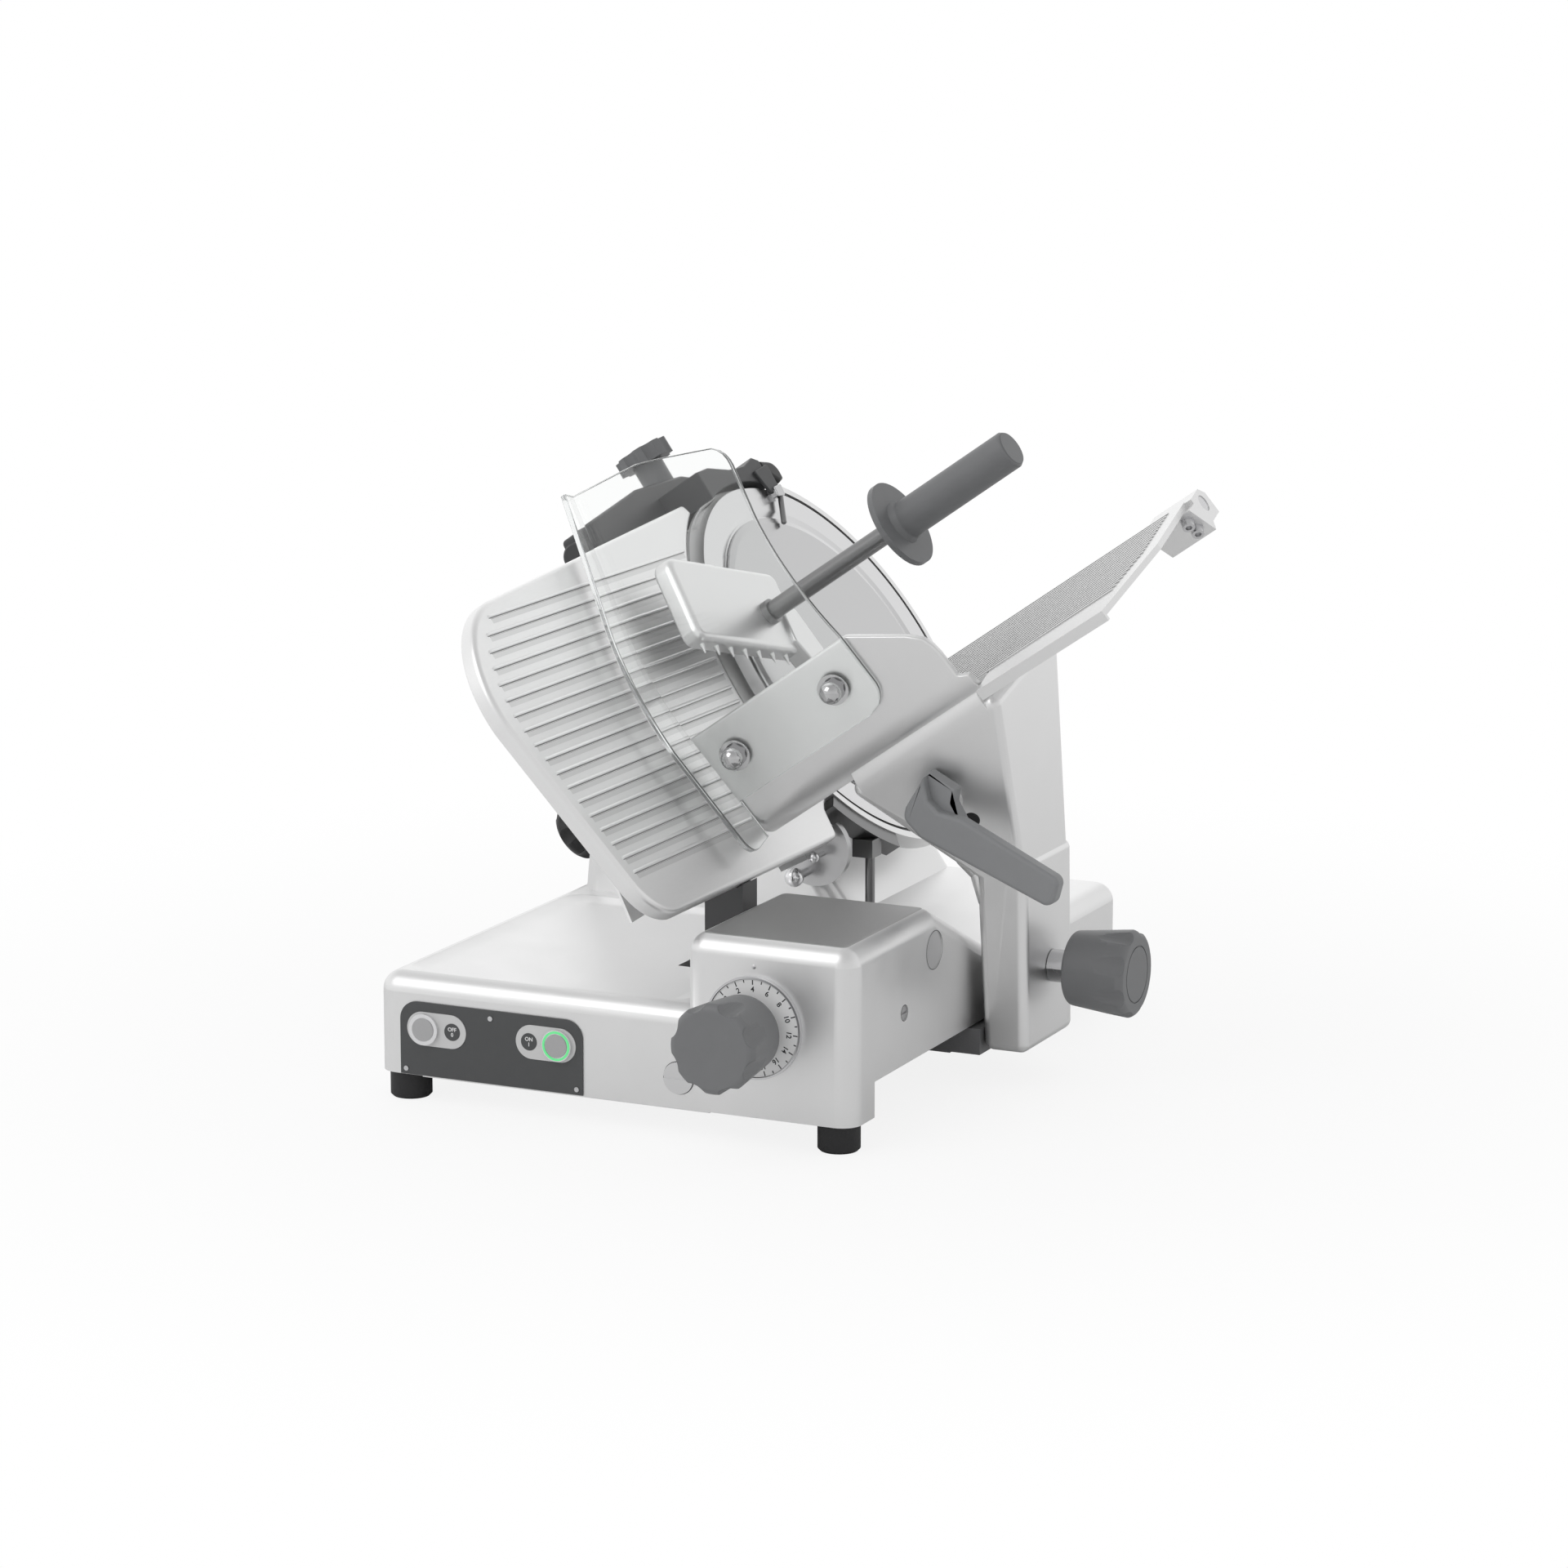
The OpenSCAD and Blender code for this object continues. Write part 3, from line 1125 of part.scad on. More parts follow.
module dome_nuts() color("gainsboro") in_tray() for (z = nut_u) translate([tray_t, nut_n, z])
    rotate([0, -90, 0]) {
    cylinder(d = stud_d, h = tray_t + guard_t + 4);
    translate([0, 0, tray_t + guard_t]) cylinder(d = 25, h = 2);
    translate([0, 0, tray_t + guard_t + 2]) cylinder(d = 19, h = 5, $fn = 6);
    translate([0, 0, tray_t + guard_t + 7]) intersection() {
        sphere(d = 18);
        translate([0, 0, 10 - eps]) cube(20, center = true);
    }
}

// Pusher frame: local X runs from the guide rail to the plate's front end, Y is up along the plate
module in_pusher() in_tray() translate([guide_w, guide_n, 0]) rotate([0, 0, -swing])
    mirror([1, 0, 0]) children();
slider_u = tray_start + lug_u + side_gap;
slider_len = 56;
slider_d = 22;
collar_t = 4;
eye_d = 32;
eye_u = slider_u + collar_t + side_gap;
slab_u = 17;
module pusher_slider() color("silver") in_tray() translate([guide_w, guide_n, slider_u]) difference() {
    union() {
        cylinder(d = slider_d, h = slider_len);
        for (z = [0, collar_t + pusher_t + 2 * side_gap]) translate([0, 0, z])
            cylinder(d = eye_d - 2, h = collar_t);
    }
    translate([0, 0, -1]) cylinder(d = guide_d + 2 * run_gap, h = slider_len + 2);
}
plate_low_q = 67;
plate_near_p = 36;
spike_h = 8;
module pusher_plate() color("gainsboro") in_pusher() difference() {
    union() {
        translate([0, 0, slab_u]) linear_extrude(pusher_t) polygon(concat(
            [[plate_near_p, plate_low_q]], arc(pusher_reach - 10, plate_low_q + 10, 10, -90, 0, 5),
            arc(pusher_reach - 14, plate_low_q + pusher_h - 14, 14, 0, 90, 8),
            [[plate_near_p + 10, plate_low_q + pusher_h], [plate_near_p, plate_low_q + pusher_h - 10]]));
        translate([0, 0, eye_u]) linear_extrude(pusher_t) {
            polygon([[-12, 8], [plate_near_p - 1, plate_low_q + 40], [plate_near_p + 20, plate_low_q + 40],
                [plate_near_p + 20, plate_low_q + 8], [10, 12]]);
            circle(d = eye_d);
        }
        for (i = [0:6]) translate([plate_near_p + 24 + i * 20, plate_low_q + 1, slab_u + pusher_t / 2])
            rotate([90, 0, 0]) cylinder(d1 = 5, d2 = 1, h = spike_h + 1);
    }
    translate([0, 0, eye_u - 1]) cylinder(d = slider_d + 2 * run_gap, h = pusher_t + 2);
    translate([rod_p, rod_q, rod_u - 10]) cylinder(d = rod_d - 4, h = 40);
}
rod_u = slab_u + pusher_t;
rod_p = 74;
rod_q = plate_low_q + 33;
module pusher_rod() color("gray") in_pusher() translate([rod_p, rod_q, rod_u]) {
    translate([0, 0, -10]) cylinder(d = rod_d - 4, h = 12);
    cylinder(d = rod_d + 5, h = 6);
    cylinder(d = rod_d, h = rod_len + 40);
}
grip_flange_d = 74;
grip_flange_t = 5;
module pusher_grip() color("#6b6d70") in_pusher() translate([rod_p, rod_q, rod_u + rod_len])
    difference() {
    union() {
        cylinder(d = grip_flange_d, h = grip_flange_t);
        cylinder(d1 = grip_d + 10, d2 = grip_d, h = grip_flange_t + 6);
        cylinder(d = grip_d, h = grip_len - 3);
        translate([0, 0, grip_len - 3]) cylinder(d1 = grip_d, d2 = grip_d - 4, h = 3);
    }
    translate([0, 0, -1]) cylinder(d = rod_d, h = 41);
}

base_casting();
bottom_plate();
feet();
foot_screws();
control_panel();
panel_screws();
switch_windows();
button_housings();
on_light_ring();
off_button();
on_button();
front_plug();
side_plug();
side_screw();
dial_rim();
dial_plate();
thickness_knob();
knob_cap();
knob_shaft();
gauge_guide_rods();
gauge_column();
gauge_plate();
slice_deflector();
deflector_bracket();
deflector_pins();
ring_guard();
ring_stay();
blade();
blade_hub();
blade_screws();
blade_shaft();
blade_cover();
cover_knob();
bearing_housing();
blade_bearings();
drive_belt();
motor_pulley();
motor();
sharpener_body();
sharpener_cap();
sharpener_knob();
carriage_rail();
carriage_track();
control_board();
cable_gland();
slide_block();
carriage_arm();
lock_knob();
carriage_handle();
food_tray();
food_table();
table_bracket();
bracket_screws();
pusher_rail();
hand_guard();
dome_nuts();
pusher_slider();
pusher_plate();
pusher_rod();
pusher_grip();
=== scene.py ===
"""Smooth skins, finishes and studio stage of a gravity-feed food slicer.

Sizes inside the shape functions are millimetres in the slicer's own frames: base (right, back, up),
blade (depth, up the blade, its normal), tray (across, floor's normal, feed) and pusher (reach, up, feed).
"""

import math

import bmesh
import bpy
import numpy as np
from bpy.props import FloatProperty, FloatVectorProperty, PointerProperty
from mathutils import Matrix, Vector


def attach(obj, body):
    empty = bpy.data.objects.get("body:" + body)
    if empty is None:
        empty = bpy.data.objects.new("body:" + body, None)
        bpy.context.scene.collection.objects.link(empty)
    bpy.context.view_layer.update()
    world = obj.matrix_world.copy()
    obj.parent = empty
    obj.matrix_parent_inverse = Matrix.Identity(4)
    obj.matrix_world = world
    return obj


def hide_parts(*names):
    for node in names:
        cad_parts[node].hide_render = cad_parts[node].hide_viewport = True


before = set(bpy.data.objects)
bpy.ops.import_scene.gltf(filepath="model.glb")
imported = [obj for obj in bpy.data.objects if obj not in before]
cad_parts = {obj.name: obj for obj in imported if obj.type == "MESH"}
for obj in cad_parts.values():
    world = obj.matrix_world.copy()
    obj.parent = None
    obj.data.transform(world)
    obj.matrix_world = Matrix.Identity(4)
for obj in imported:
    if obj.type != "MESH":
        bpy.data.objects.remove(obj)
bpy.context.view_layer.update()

bl_info = {
    "name": "Food slicer",
    "version": (1, 0, 0),
    "blender": (4, 2, 0),
    "location": "3D View > Sidebar > Slicer",
    "description": "Skins, finishes and studio stage of a gravity-feed food slicer",
    "category": "Object",
}

MM = 0.001
TILT = math.radians(35)
LEAN = math.radians(14)
SWING = math.radians(30)
BASE_CORNER = np.array([-239.9, -280.0, 22.0])
PLANE_U = 305.0
BLADE_Y, BLADE_V = 462.0, 111.0
TRAY_Y, TRAY_V = 168.8, -6.6
GUIDE_W = 205.0
DIAL_X, DIAL_Z = 328.0, 71.0
BUTTON_Z = 38.5


# Frames


def in_base(p):
    """Base frame to metres in the part's frame: shifted by the base's corner."""
    return (np.asarray(p, float) + BASE_CORNER) * MM


def on_slant(y, v, u):
    """Depth y, height v along the blade plane and distance u along its normal, turned by the tilt."""
    return in_base(np.stack([u * math.cos(TILT) - v * math.sin(TILT), y,
                             u * math.sin(TILT) + v * math.cos(TILT)], -1))


def in_blade(p):
    """Blade frame, centred on the blade's axis."""
    p = np.asarray(p, float)
    return on_slant(BLADE_Y + p[..., 0], BLADE_V + p[..., 1], PLANE_U + p[..., 2])


def in_tray(p):
    """Tray frame, turned about the feed by the lean."""
    p = np.asarray(p, float)
    y = TRAY_Y + p[..., 0] * math.cos(LEAN) - p[..., 1] * math.sin(LEAN)
    v = TRAY_V + p[..., 0] * math.sin(LEAN) + p[..., 1] * math.cos(LEAN)
    return on_slant(y, v, PLANE_U + p[..., 2])


def in_pusher(p):
    """Pusher frame, swung about the guide rail."""
    p = np.asarray(p, float)
    w = GUIDE_W - p[..., 0] * math.cos(SWING) + p[..., 1] * math.sin(SWING)
    n = p[..., 0] * math.sin(SWING) + p[..., 1] * math.cos(SWING)
    return in_tray(np.stack([w, n, p[..., 2]], -1))


def on_front(p):
    """Front face: right, up and towards the operator."""
    p = np.asarray(p, float)
    return in_base(np.stack([p[..., 0], -p[..., 2], p[..., 1]], -1))


# Outlines


def arc(cx, cy, r, a0, a1, steps=12):
    """Points of a circle's arc from angle a0 to a1 in degrees."""
    a = np.radians(np.linspace(a0, a1, steps + 1))
    return np.stack([cx + r * np.cos(a), cy + r * np.sin(a)], -1)


def line(points, count):
    """Points spaced evenly along a polyline."""
    points = np.asarray(points, float)
    run = np.concatenate([[0], np.cumsum(np.hypot(*np.diff(points, axis=0).T))])
    t = np.linspace(0, run[-1], count)
    return np.stack([np.interp(t, run, points[:, k]) for k in (0, 1)], -1)


def rounded_outline(points, radii, steps=5):
    """A polygon whose corners are replaced by arcs tangent to both of their sides."""
    points = np.asarray(points, float)
    radii = np.broadcast_to(radii, len(points))
    out = []
    for i, r in enumerate(radii):
        p, a, b = points[i], points[i - 1], points[(i + 1) % len(points)]
        da, db = (a - p) / np.linalg.norm(a - p), (b - p) / np.linalg.norm(b - p)
        half = math.acos(np.clip(da @ db, -1, 1)) / 2
        if r <= 0 or half > 1.55:
            out.append(p[None])
            continue
        reach = min(r / math.tan(half), 0.45 * np.linalg.norm(a - p), 0.45 * np.linalg.norm(b - p))
        r = reach * math.tan(half)
        mid = da + db
        centre = p + mid / np.linalg.norm(mid) * r / math.sin(half)
        s, e = p + da * reach - centre, p + db * reach - centre
        a0 = math.atan2(s[1], s[0])
        turn = (math.atan2(e[1], e[0]) - a0 + math.pi) % (2 * math.pi) - math.pi
        t = a0 + turn * np.linspace(0, 1, steps + 1)
        out.append(centre + r * np.stack([np.cos(t), np.sin(t)], -1))
    return np.concatenate(out)


def anticlockwise(outline):
    """The outline in anticlockwise order, from the sign of its area."""
    x, y = outline.T
    return outline if np.sum(x * np.roll(y, -1) - y * np.roll(x, -1)) > 0 else outline[::-1]


def inset(outline, distance):
    """Every corner moved inwards along its bisector, so that both sides move by the distance."""
    side = np.roll(outline, -1, 0) - outline
    side /= np.maximum(np.linalg.norm(side, axis=1, keepdims=True), 1e-9)
    normal = np.stack([-side[:, 1], side[:, 0]], -1)
    both = normal + np.roll(normal, 1, 0)
    both /= np.maximum(np.linalg.norm(both, axis=1, keepdims=True), 1e-9)
    stretch = 1 / np.maximum(np.sum(both * normal, 1, keepdims=True), 0.55)
    return outline + both * stretch * distance


# Surfaces: each gives points (n, 3) and a list of faces


def quads(count, size, closed=False):
    """Quads between neighbouring rings of equal size, and from the last ring to the first if closed."""
    i, j = np.meshgrid(np.arange(count if closed else count - 1), np.arange(size), indexing="ij")
    k, n = (j + 1) % size, (i + 1) % count
    return np.stack([i * size + j, i * size + k, n * size + k, n * size + j], -1).reshape(-1, 4).tolist()


def loops_to_mesh(rows):
    """Rings of equal length joined ring to ring by quads, with a flat face over the first and the last."""
    rows = np.asarray(rows, float)
    count, size = rows.shape[:2]
    faces = quads(count, size)
    faces.append(list(range(size))[::-1])
    faces.append(list(range((count - 1) * size, count * size)))
    return rows.reshape(-1, 3), faces


def at_height(outline, z):
    """An outline as a ring of points at one height."""
    return np.column_stack([outline, np.full(len(outline), float(z))])


def rim_rings(outline, z, r, way, angles):
    """Rings of a rounded rim: a quarter circle of radius r that goes up (1) or down (-1) from height z."""
    return [at_height(inset(outline, r * (1 - math.sin(t))), z + way * r * (1 - math.cos(t))) for t in angles]


def rounded_slab(outline, z0, z1, low, high, steps=5):
    """An outline carried from z0 to z1, with quarter circles of radius low and high along its two rims."""
    outline = anticlockwise(np.asarray(outline, float))
    a = np.linspace(0, math.pi / 2, steps + 1)
    return loops_to_mesh(rim_rings(outline, z0, low, 1, a) + rim_rings(outline, z1, high, -1, a[::-1]))


def rim_loop(u0, u1, d0, d1, r, steps=4):
    """A rounded rectangle from (u0, d0) to (u1, d1)."""
    r = min(r, 0.48 * (u1 - u0), 0.48 * (d1 - d0))
    corners = [(u1 - r, d0 + r, -90), (u1 - r, d1 - r, 0), (u0 + r, d1 - r, 90), (u0 + r, d0 + r, 180)]
    return np.concatenate([arc(x, y, r, a, a + 90, steps) for x, y, a in corners])


def bent_sheet(points, normals, loops):
    """Loops of (feed, depth) carried along a profile of points, each with the direction of its depth."""
    rows = []
    for p, q, loop in zip(points, normals, loops):
        rows.append(np.column_stack([p[0] + q[0] * loop[:, 1], p[1] + q[1] * loop[:, 1], loop[:, 0]]))
    return loops_to_mesh(rows)


def turned(profile, steps=32):
    """A profile of (radius, height) turned round the Z axis; a radius near zero closes the end."""
    profile = np.asarray(profile, float)
    a = np.linspace(0, 2 * math.pi, steps, endpoint=False)
    ring = np.stack([np.cos(a), np.sin(a)], -1)
    return loops_to_mesh([at_height(np.maximum(r, 0.01) * ring, z) for r, z in profile])


def joined(parts):
    """Several surfaces as one."""
    points, faces, start = [], [], 0
    for p, f in parts:
        points.append(p)
        faces += [[k + start for k in one] for one in f]
        start += len(p)
    return np.concatenate(points), faces


def moved(part, place):
    """A surface with its points passed through a frame or another function of points."""
    return place(part[0]), part[1]


def facing_out(points, faces):
    """Faces in an order that gives the closed surface a positive volume."""
    volume = 0.0
    for f in faces:
        a = points[f[0]]
        for b, c in zip(f[1:-1], f[2:]):
            volume += float(np.dot(a, np.cross(points[b], points[c])))
    return faces if volume > 0 else [f[::-1] for f in faces]


def outward(parts):
    """Closed surfaces, each with its faces turned outwards."""
    return [(p, facing_out(p - p.mean(0), f)) for p, f in parts]


def make_piece(name, part, body, materials, nodes=(), indices=None, closed=True, angle=34):
    """Adds a surface to the scene as a piece on a body, in place of CAD nodes where it stands for them."""
    points, faces = outward([part])[0] if closed else part
    mesh = bpy.data.meshes.new(name)
    mesh.from_pydata(points.tolist(), [], faces)
    if mesh.validate():
        raise RuntimeError(name + ": the surface has faulty faces")
    return add_object(name, mesh, body, materials, nodes, indices, angle)


def add_object(name, mesh, body, materials, nodes=(), indices=None, angle=34):
    """Shades a mesh smoothly up to an angle, gives it its finishes and places it on its body."""
    mesh.polygons.foreach_set("use_smooth", np.ones(len(mesh.polygons), bool))
    mesh.set_sharp_from_angle(angle=math.radians(angle))
    for m in materials:
        mesh.materials.append(FINISHES[m])
    if indices is not None:
        mesh.polygons.foreach_set("material_index", np.asarray(indices, np.int32))
    mesh.update()
    obj = bpy.data.objects.new(name, mesh)
    bpy.context.scene.collection.objects.link(obj)
    even = obj.modifiers.new("Even shading", "WEIGHTED_NORMAL")
    even.keep_sharp = True
    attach(obj, body)
    if nodes:
        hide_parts(*nodes)
    return obj


FLAT = 0.4


def face_normal(corners):
    """The normal of a face with any number of corners, as long as twice its area."""
    return np.cross(corners, np.roll(corners, -1, 0)).sum(0)


def smooth_copy(node, body, materials, angle, second=None):
    """A copy of a CAD node with its loose triangles merged, so that it can be shaded smoothly.

    The second finish goes to the faces whose corners, in the base frame's millimetres, pass the test.
    """
    bm = bmesh.new()
    bm.from_mesh(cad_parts[node].data)
    bmesh.ops.remove_doubles(bm, verts=bm.verts, dist=1e-6)
    bmesh.ops.dissolve_degenerate(bm, edges=bm.edges, dist=1e-7)
    bmesh.ops.dissolve_limit(bm, angle_limit=math.radians(FLAT), verts=bm.verts, edges=bm.edges)
    mesh = bpy.data.meshes.new(node + "_skin")
    bm.to_mesh(mesh)
    bm.free()
    mesh.materials.clear()
    indices = None
    if second is not None:
        points = np.array([v.co for v in mesh.vertices]) / MM - BASE_CORNER
        indices = [int(second(points[list(f.vertices)])) for f in mesh.polygons]
    return add_object(node + "_skin", mesh, body, materials, [node], indices, angle)


BOLD = 0.022


def flat_text(words, size):
    """Outlines of words filled flat and a little bold, centred on the origin, in millimetres."""
    curve = bpy.data.curves.new("words", "FONT")
    curve.body = words
    curve.size = size
    curve.offset = BOLD * size
    curve.align_x = "CENTER"
    curve.align_y = "CENTER"
    obj = bpy.data.objects.new("words", curve)
    bpy.context.scene.collection.objects.link(obj)
    bpy.context.view_layer.update()
    mesh = bpy.data.meshes.new_from_object(obj.evaluated_get(bpy.context.evaluated_depsgraph_get()))
    points = np.zeros(len(mesh.vertices) * 3)
    mesh.vertices.foreach_get("co", points)
    faces = [list(p.vertices) for p in mesh.polygons]
    bpy.data.objects.remove(obj)
    bpy.data.curves.remove(curve)
    bpy.data.meshes.remove(mesh)
    return points.reshape(-1, 3), faces


# Properties


def colour(name, text, value):
    """A colour property."""
    return FloatVectorProperty(name=name, description=text, default=value, subtype="COLOR",
                               size=3, min=0, max=1)


def length(name, text, value):
    """A length property."""
    return FloatProperty(name=name, description=text, default=value, unit="LENGTH", min=0)


def level(name, text, value):
    """A brightness property."""
    return FloatProperty(name=name, description=text, default=value, min=0)


def power(name, text, value):
    """A property for the power of a light."""
    return FloatProperty(name=name, description=text, default=value, min=0, subtype="POWER", unit="POWER")


class SlicerSizes(bpy.types.PropertyGroup):
    """Sizes of the rounded edges and printed marks."""

    plate_round: length("Gauge plate rim", "Rounding of the gauge plate's front rim", 0.0045)
    pusher_round: length("Pusher rim", "Rounding of the pusher plate's front rim", 0.006)
    handle_round: length("Handle rim", "Rounding of the carriage handle's front rim", 0.0034)
    digit: length("Dial digits", "Height of the digits on the thickness scale", 0.0058)


class SlicerColours(bpy.types.PropertyGroup):
    """Colours of the finishes."""

    casting: colour("Castings", "Satin aluminium of base, arm and tray", (0.80, 0.80, 0.80))
    plate: colour("Gauge plate", "Satin aluminium of the ribbed plate", (0.86, 0.86, 0.86))
    sheet: colour("Sheets", "Satin aluminium of pusher, ring and table", (0.80, 0.80, 0.80))
    steel: colour("Steel", "Polished steel of pins and bezels", (0.80, 0.80, 0.81))
    blade: colour("Blade", "Ground steel of blade and cover", (0.70, 0.70, 0.705))
    grey: colour("Grey plastic", "Knobs and grips", (0.176, 0.179, 0.184))
    dark: colour("Dark plastic", "Sharpener", (0.046, 0.047, 0.049))
    panel: colour("Panel", "Control panel", (0.068, 0.070, 0.072))
    black: colour("Black plastic", "Sharpener cap and release knob", (0.006, 0.006, 0.0065))
    rubber: colour("Rubber", "Feet and belt", (0.014, 0.014, 0.015))
    light: colour("Light ring", "Lit ring of the ON button", (0.16, 0.80, 0.30))


class SlicerStage(bpy.types.PropertyGroup):
    """Light and camera."""

    world: level("Surround", "Brightness of the white surround as light", 0.86)
    gloss: level("Reflected", "Brightness of the white surround in metal", 0.92)
    key: power("Key light", "Power of the large light above the front", 22.0)
    rear: power("Rear light", "Power of the large light above the back", 2.5)
    lens: FloatProperty(name="Lens", description="Focal length of the camera", default=119.44,
                        subtype="DISTANCE_CAMERA")


# Finishes

FINISHES = {}
RELIEF = 0.0004
ACRYLIC_IOR = 1.42


def new_group(name):
    """A shader group with the inputs and outputs that all surface grains share."""
    tree = bpy.data.node_groups.new(name, "ShaderNodeTree")
    tree.interface.new_socket("Vector", in_out="INPUT", socket_type="NodeSocketVector")
    tree.interface.new_socket("Scale", in_out="INPUT", socket_type="NodeSocketFloat")
    for out in ("Shade", "Rough", "Height"):
        tree.interface.new_socket(out, in_out="OUTPUT", socket_type="NodeSocketFloat")
    return tree, tree.nodes.new("NodeGroupInput"), tree.nodes.new("NodeGroupOutput")


def calc(tree, kind, a, b):
    """A math node of two values, each a socket or a number."""
    node = tree.nodes.new("ShaderNodeMath")
    node.operation = kind
    for k, value in enumerate((a, b)):
        if isinstance(value, bpy.types.NodeSocket):
            tree.links.new(value, node.inputs[k])
        else:
            node.inputs[k].default_value = value
    return node.outputs[0]


def noise(tree, vector, scale, detail):
    """A noise texture read at a vector."""
    node = tree.nodes.new("ShaderNodeTexNoise")
    node.inputs["Detail"].default_value = detail
    tree.links.new(vector, node.inputs["Vector"])
    if isinstance(scale, bpy.types.NodeSocket):
        tree.links.new(scale, node.inputs["Scale"])
    else:
        node.inputs["Scale"].default_value = scale
    return node.outputs[0]


def make_grains():
    """Blasted metal, moulded plastic and turned metal as three groups."""
    tree, start, end = new_group("Blasted grain")
    fine = noise(tree, start.outputs["Vector"], start.outputs["Scale"], 4.0)
    cloud = noise(tree, start.outputs["Vector"], calc(tree, "MULTIPLY", start.outputs["Scale"], 0.02), 2.0)
    shade = calc(tree, "ADD", calc(tree, "MULTIPLY", fine, 0.45), calc(tree, "MULTIPLY", cloud, 0.55))
    tree.links.new(shade, end.inputs["Shade"])
    tree.links.new(cloud, end.inputs["Rough"])
    tree.links.new(fine, end.inputs["Height"])

    tree, start, end = new_group("Moulded grain")
    cell = tree.nodes.new("ShaderNodeTexVoronoi")
    tree.links.new(start.outputs["Vector"], cell.inputs["Vector"])
    tree.links.new(start.outputs["Scale"], cell.inputs["Scale"])
    cloud = noise(tree, start.outputs["Vector"], calc(tree, "MULTIPLY", start.outputs["Scale"], 0.05), 3.0)
    tree.links.new(cloud, end.inputs["Shade"])
    tree.links.new(cloud, end.inputs["Rough"])
    tree.links.new(cell.outputs["Distance"], end.inputs["Height"])

    tree, start, end = new_group("Turned grain")
    split = tree.nodes.new("ShaderNodeSeparateXYZ")
    tree.links.new(start.outputs["Vector"], split.inputs[0])
    square = [calc(tree, "MULTIPLY", split.outputs[k], split.outputs[k]) for k in (0, 1)]
    radius = calc(tree, "SQRT", calc(tree, "ADD", *square), 0.0)
    row = tree.nodes.new("ShaderNodeCombineXYZ")
    tree.links.new(radius, row.inputs[0])
    rings = noise(tree, row.outputs[0], start.outputs["Scale"], 3.0)
    cloud = noise(tree, start.outputs["Vector"], 14.0, 2.0)
    tree.links.new(calc(tree, "ADD", calc(tree, "MULTIPLY", rings, 0.5), calc(tree, "MULTIPLY", cloud, 0.5)),
                   end.inputs["Shade"])
    tree.links.new(cloud, end.inputs["Rough"])
    tree.links.new(rings, end.inputs["Height"])


def make_finish(name, tint, metallic, rough, grain="Blasted grain", scale=900.0, tone=0.05, spread=0.05,
                bump=0.05, place=None, stretch=None, glow=0.0, clear=0.0):
    """A material whose colour, roughness and relief follow one of the grains in object coordinates."""
    mat = FINISHES[name] = bpy.data.materials.new("finish_" + name)
    mat.use_nodes = True
    tree = mat.node_tree
    shader = tree.nodes["Principled BSDF"]
    where = tree.nodes.new("ShaderNodeTexCoord").outputs["Object"]
    if place is not None or stretch is not None:
        turn = tree.nodes.new("ShaderNodeMapping")
        turn.vector_type = "TEXTURE"
        if place is not None:
            turn.inputs["Location"].default_value = place.translation
            turn.inputs["Rotation"].default_value = place.to_euler()
        if stretch is not None:
            turn.inputs["Scale"].default_value = stretch
        tree.links.new(where, turn.inputs["Vector"])
        where = turn.outputs[0]
    group = tree.nodes.new("ShaderNodeGroup")
    group.node_tree = bpy.data.node_groups[grain]
    group.inputs["Scale"].default_value = scale
    tree.links.new(where, group.inputs["Vector"])
    mix = tree.nodes.new("ShaderNodeMix")
    mix.data_type = "RGBA"
    mix.inputs[6].default_value = (*[c * (1 - tone) for c in tint], 1)
    mix.inputs[7].default_value = (*[min(1, c * (1 + tone)) for c in tint], 1)
    tree.links.new(group.outputs["Shade"], mix.inputs[0])
    tree.links.new(mix.outputs[2], shader.inputs["Base Color"])
    span = tree.nodes.new("ShaderNodeMapRange")
    span.inputs["To Min"].default_value = max(0.01, rough - spread)
    span.inputs["To Max"].default_value = rough + spread
    tree.links.new(group.outputs["Rough"], span.inputs["Value"])
    tree.links.new(span.outputs[0], shader.inputs["Roughness"])
    relief = tree.nodes.new("ShaderNodeBump")
    relief.inputs["Strength"].default_value = bump
    relief.inputs["Distance"].default_value = RELIEF
    tree.links.new(group.outputs["Height"], relief.inputs["Height"])
    tree.links.new(relief.outputs[0], shader.inputs["Normal"])
    shader.inputs["Metallic"].default_value = metallic
    if glow:
        tree.links.new(mix.outputs[2], shader.inputs["Emission Color"])
        shader.inputs["Emission Strength"].default_value = glow
    if clear:
        shader.inputs["Transmission Weight"].default_value = clear
        shader.inputs["IOR"].default_value = ACRYLIC_IOR
        thin = tree.nodes.new("ShaderNodeBsdfTransparent")
        path = tree.nodes.new("ShaderNodeLightPath")
        both = tree.nodes.new("ShaderNodeMixShader")
        tree.links.new(path.outputs["Is Shadow Ray"], both.inputs[0])
        tree.links.new(shader.outputs[0], both.inputs[1])
        tree.links.new(thin.outputs[0], both.inputs[2])
        tree.links.new(both.outputs[0], tree.nodes["Material Output"].inputs["Surface"])
    return mat


def toned(tint, share):
    """A colour made darker or lighter by a factor."""
    return [v * share for v in tint]


def frame_of(place):
    """The matrix of one of the frames, from where it puts the origin and the three axes."""
    o, x, y, z = (Vector(place(np.array(p, float))) for p in ((0, 0, 0), (1, 0, 0), (0, 1, 0), (0, 0, 1)))
    axes = Matrix([(a - o).normalized() for a in (x, y, z)]).transposed().to_4x4()
    return Matrix.Translation(o) @ axes


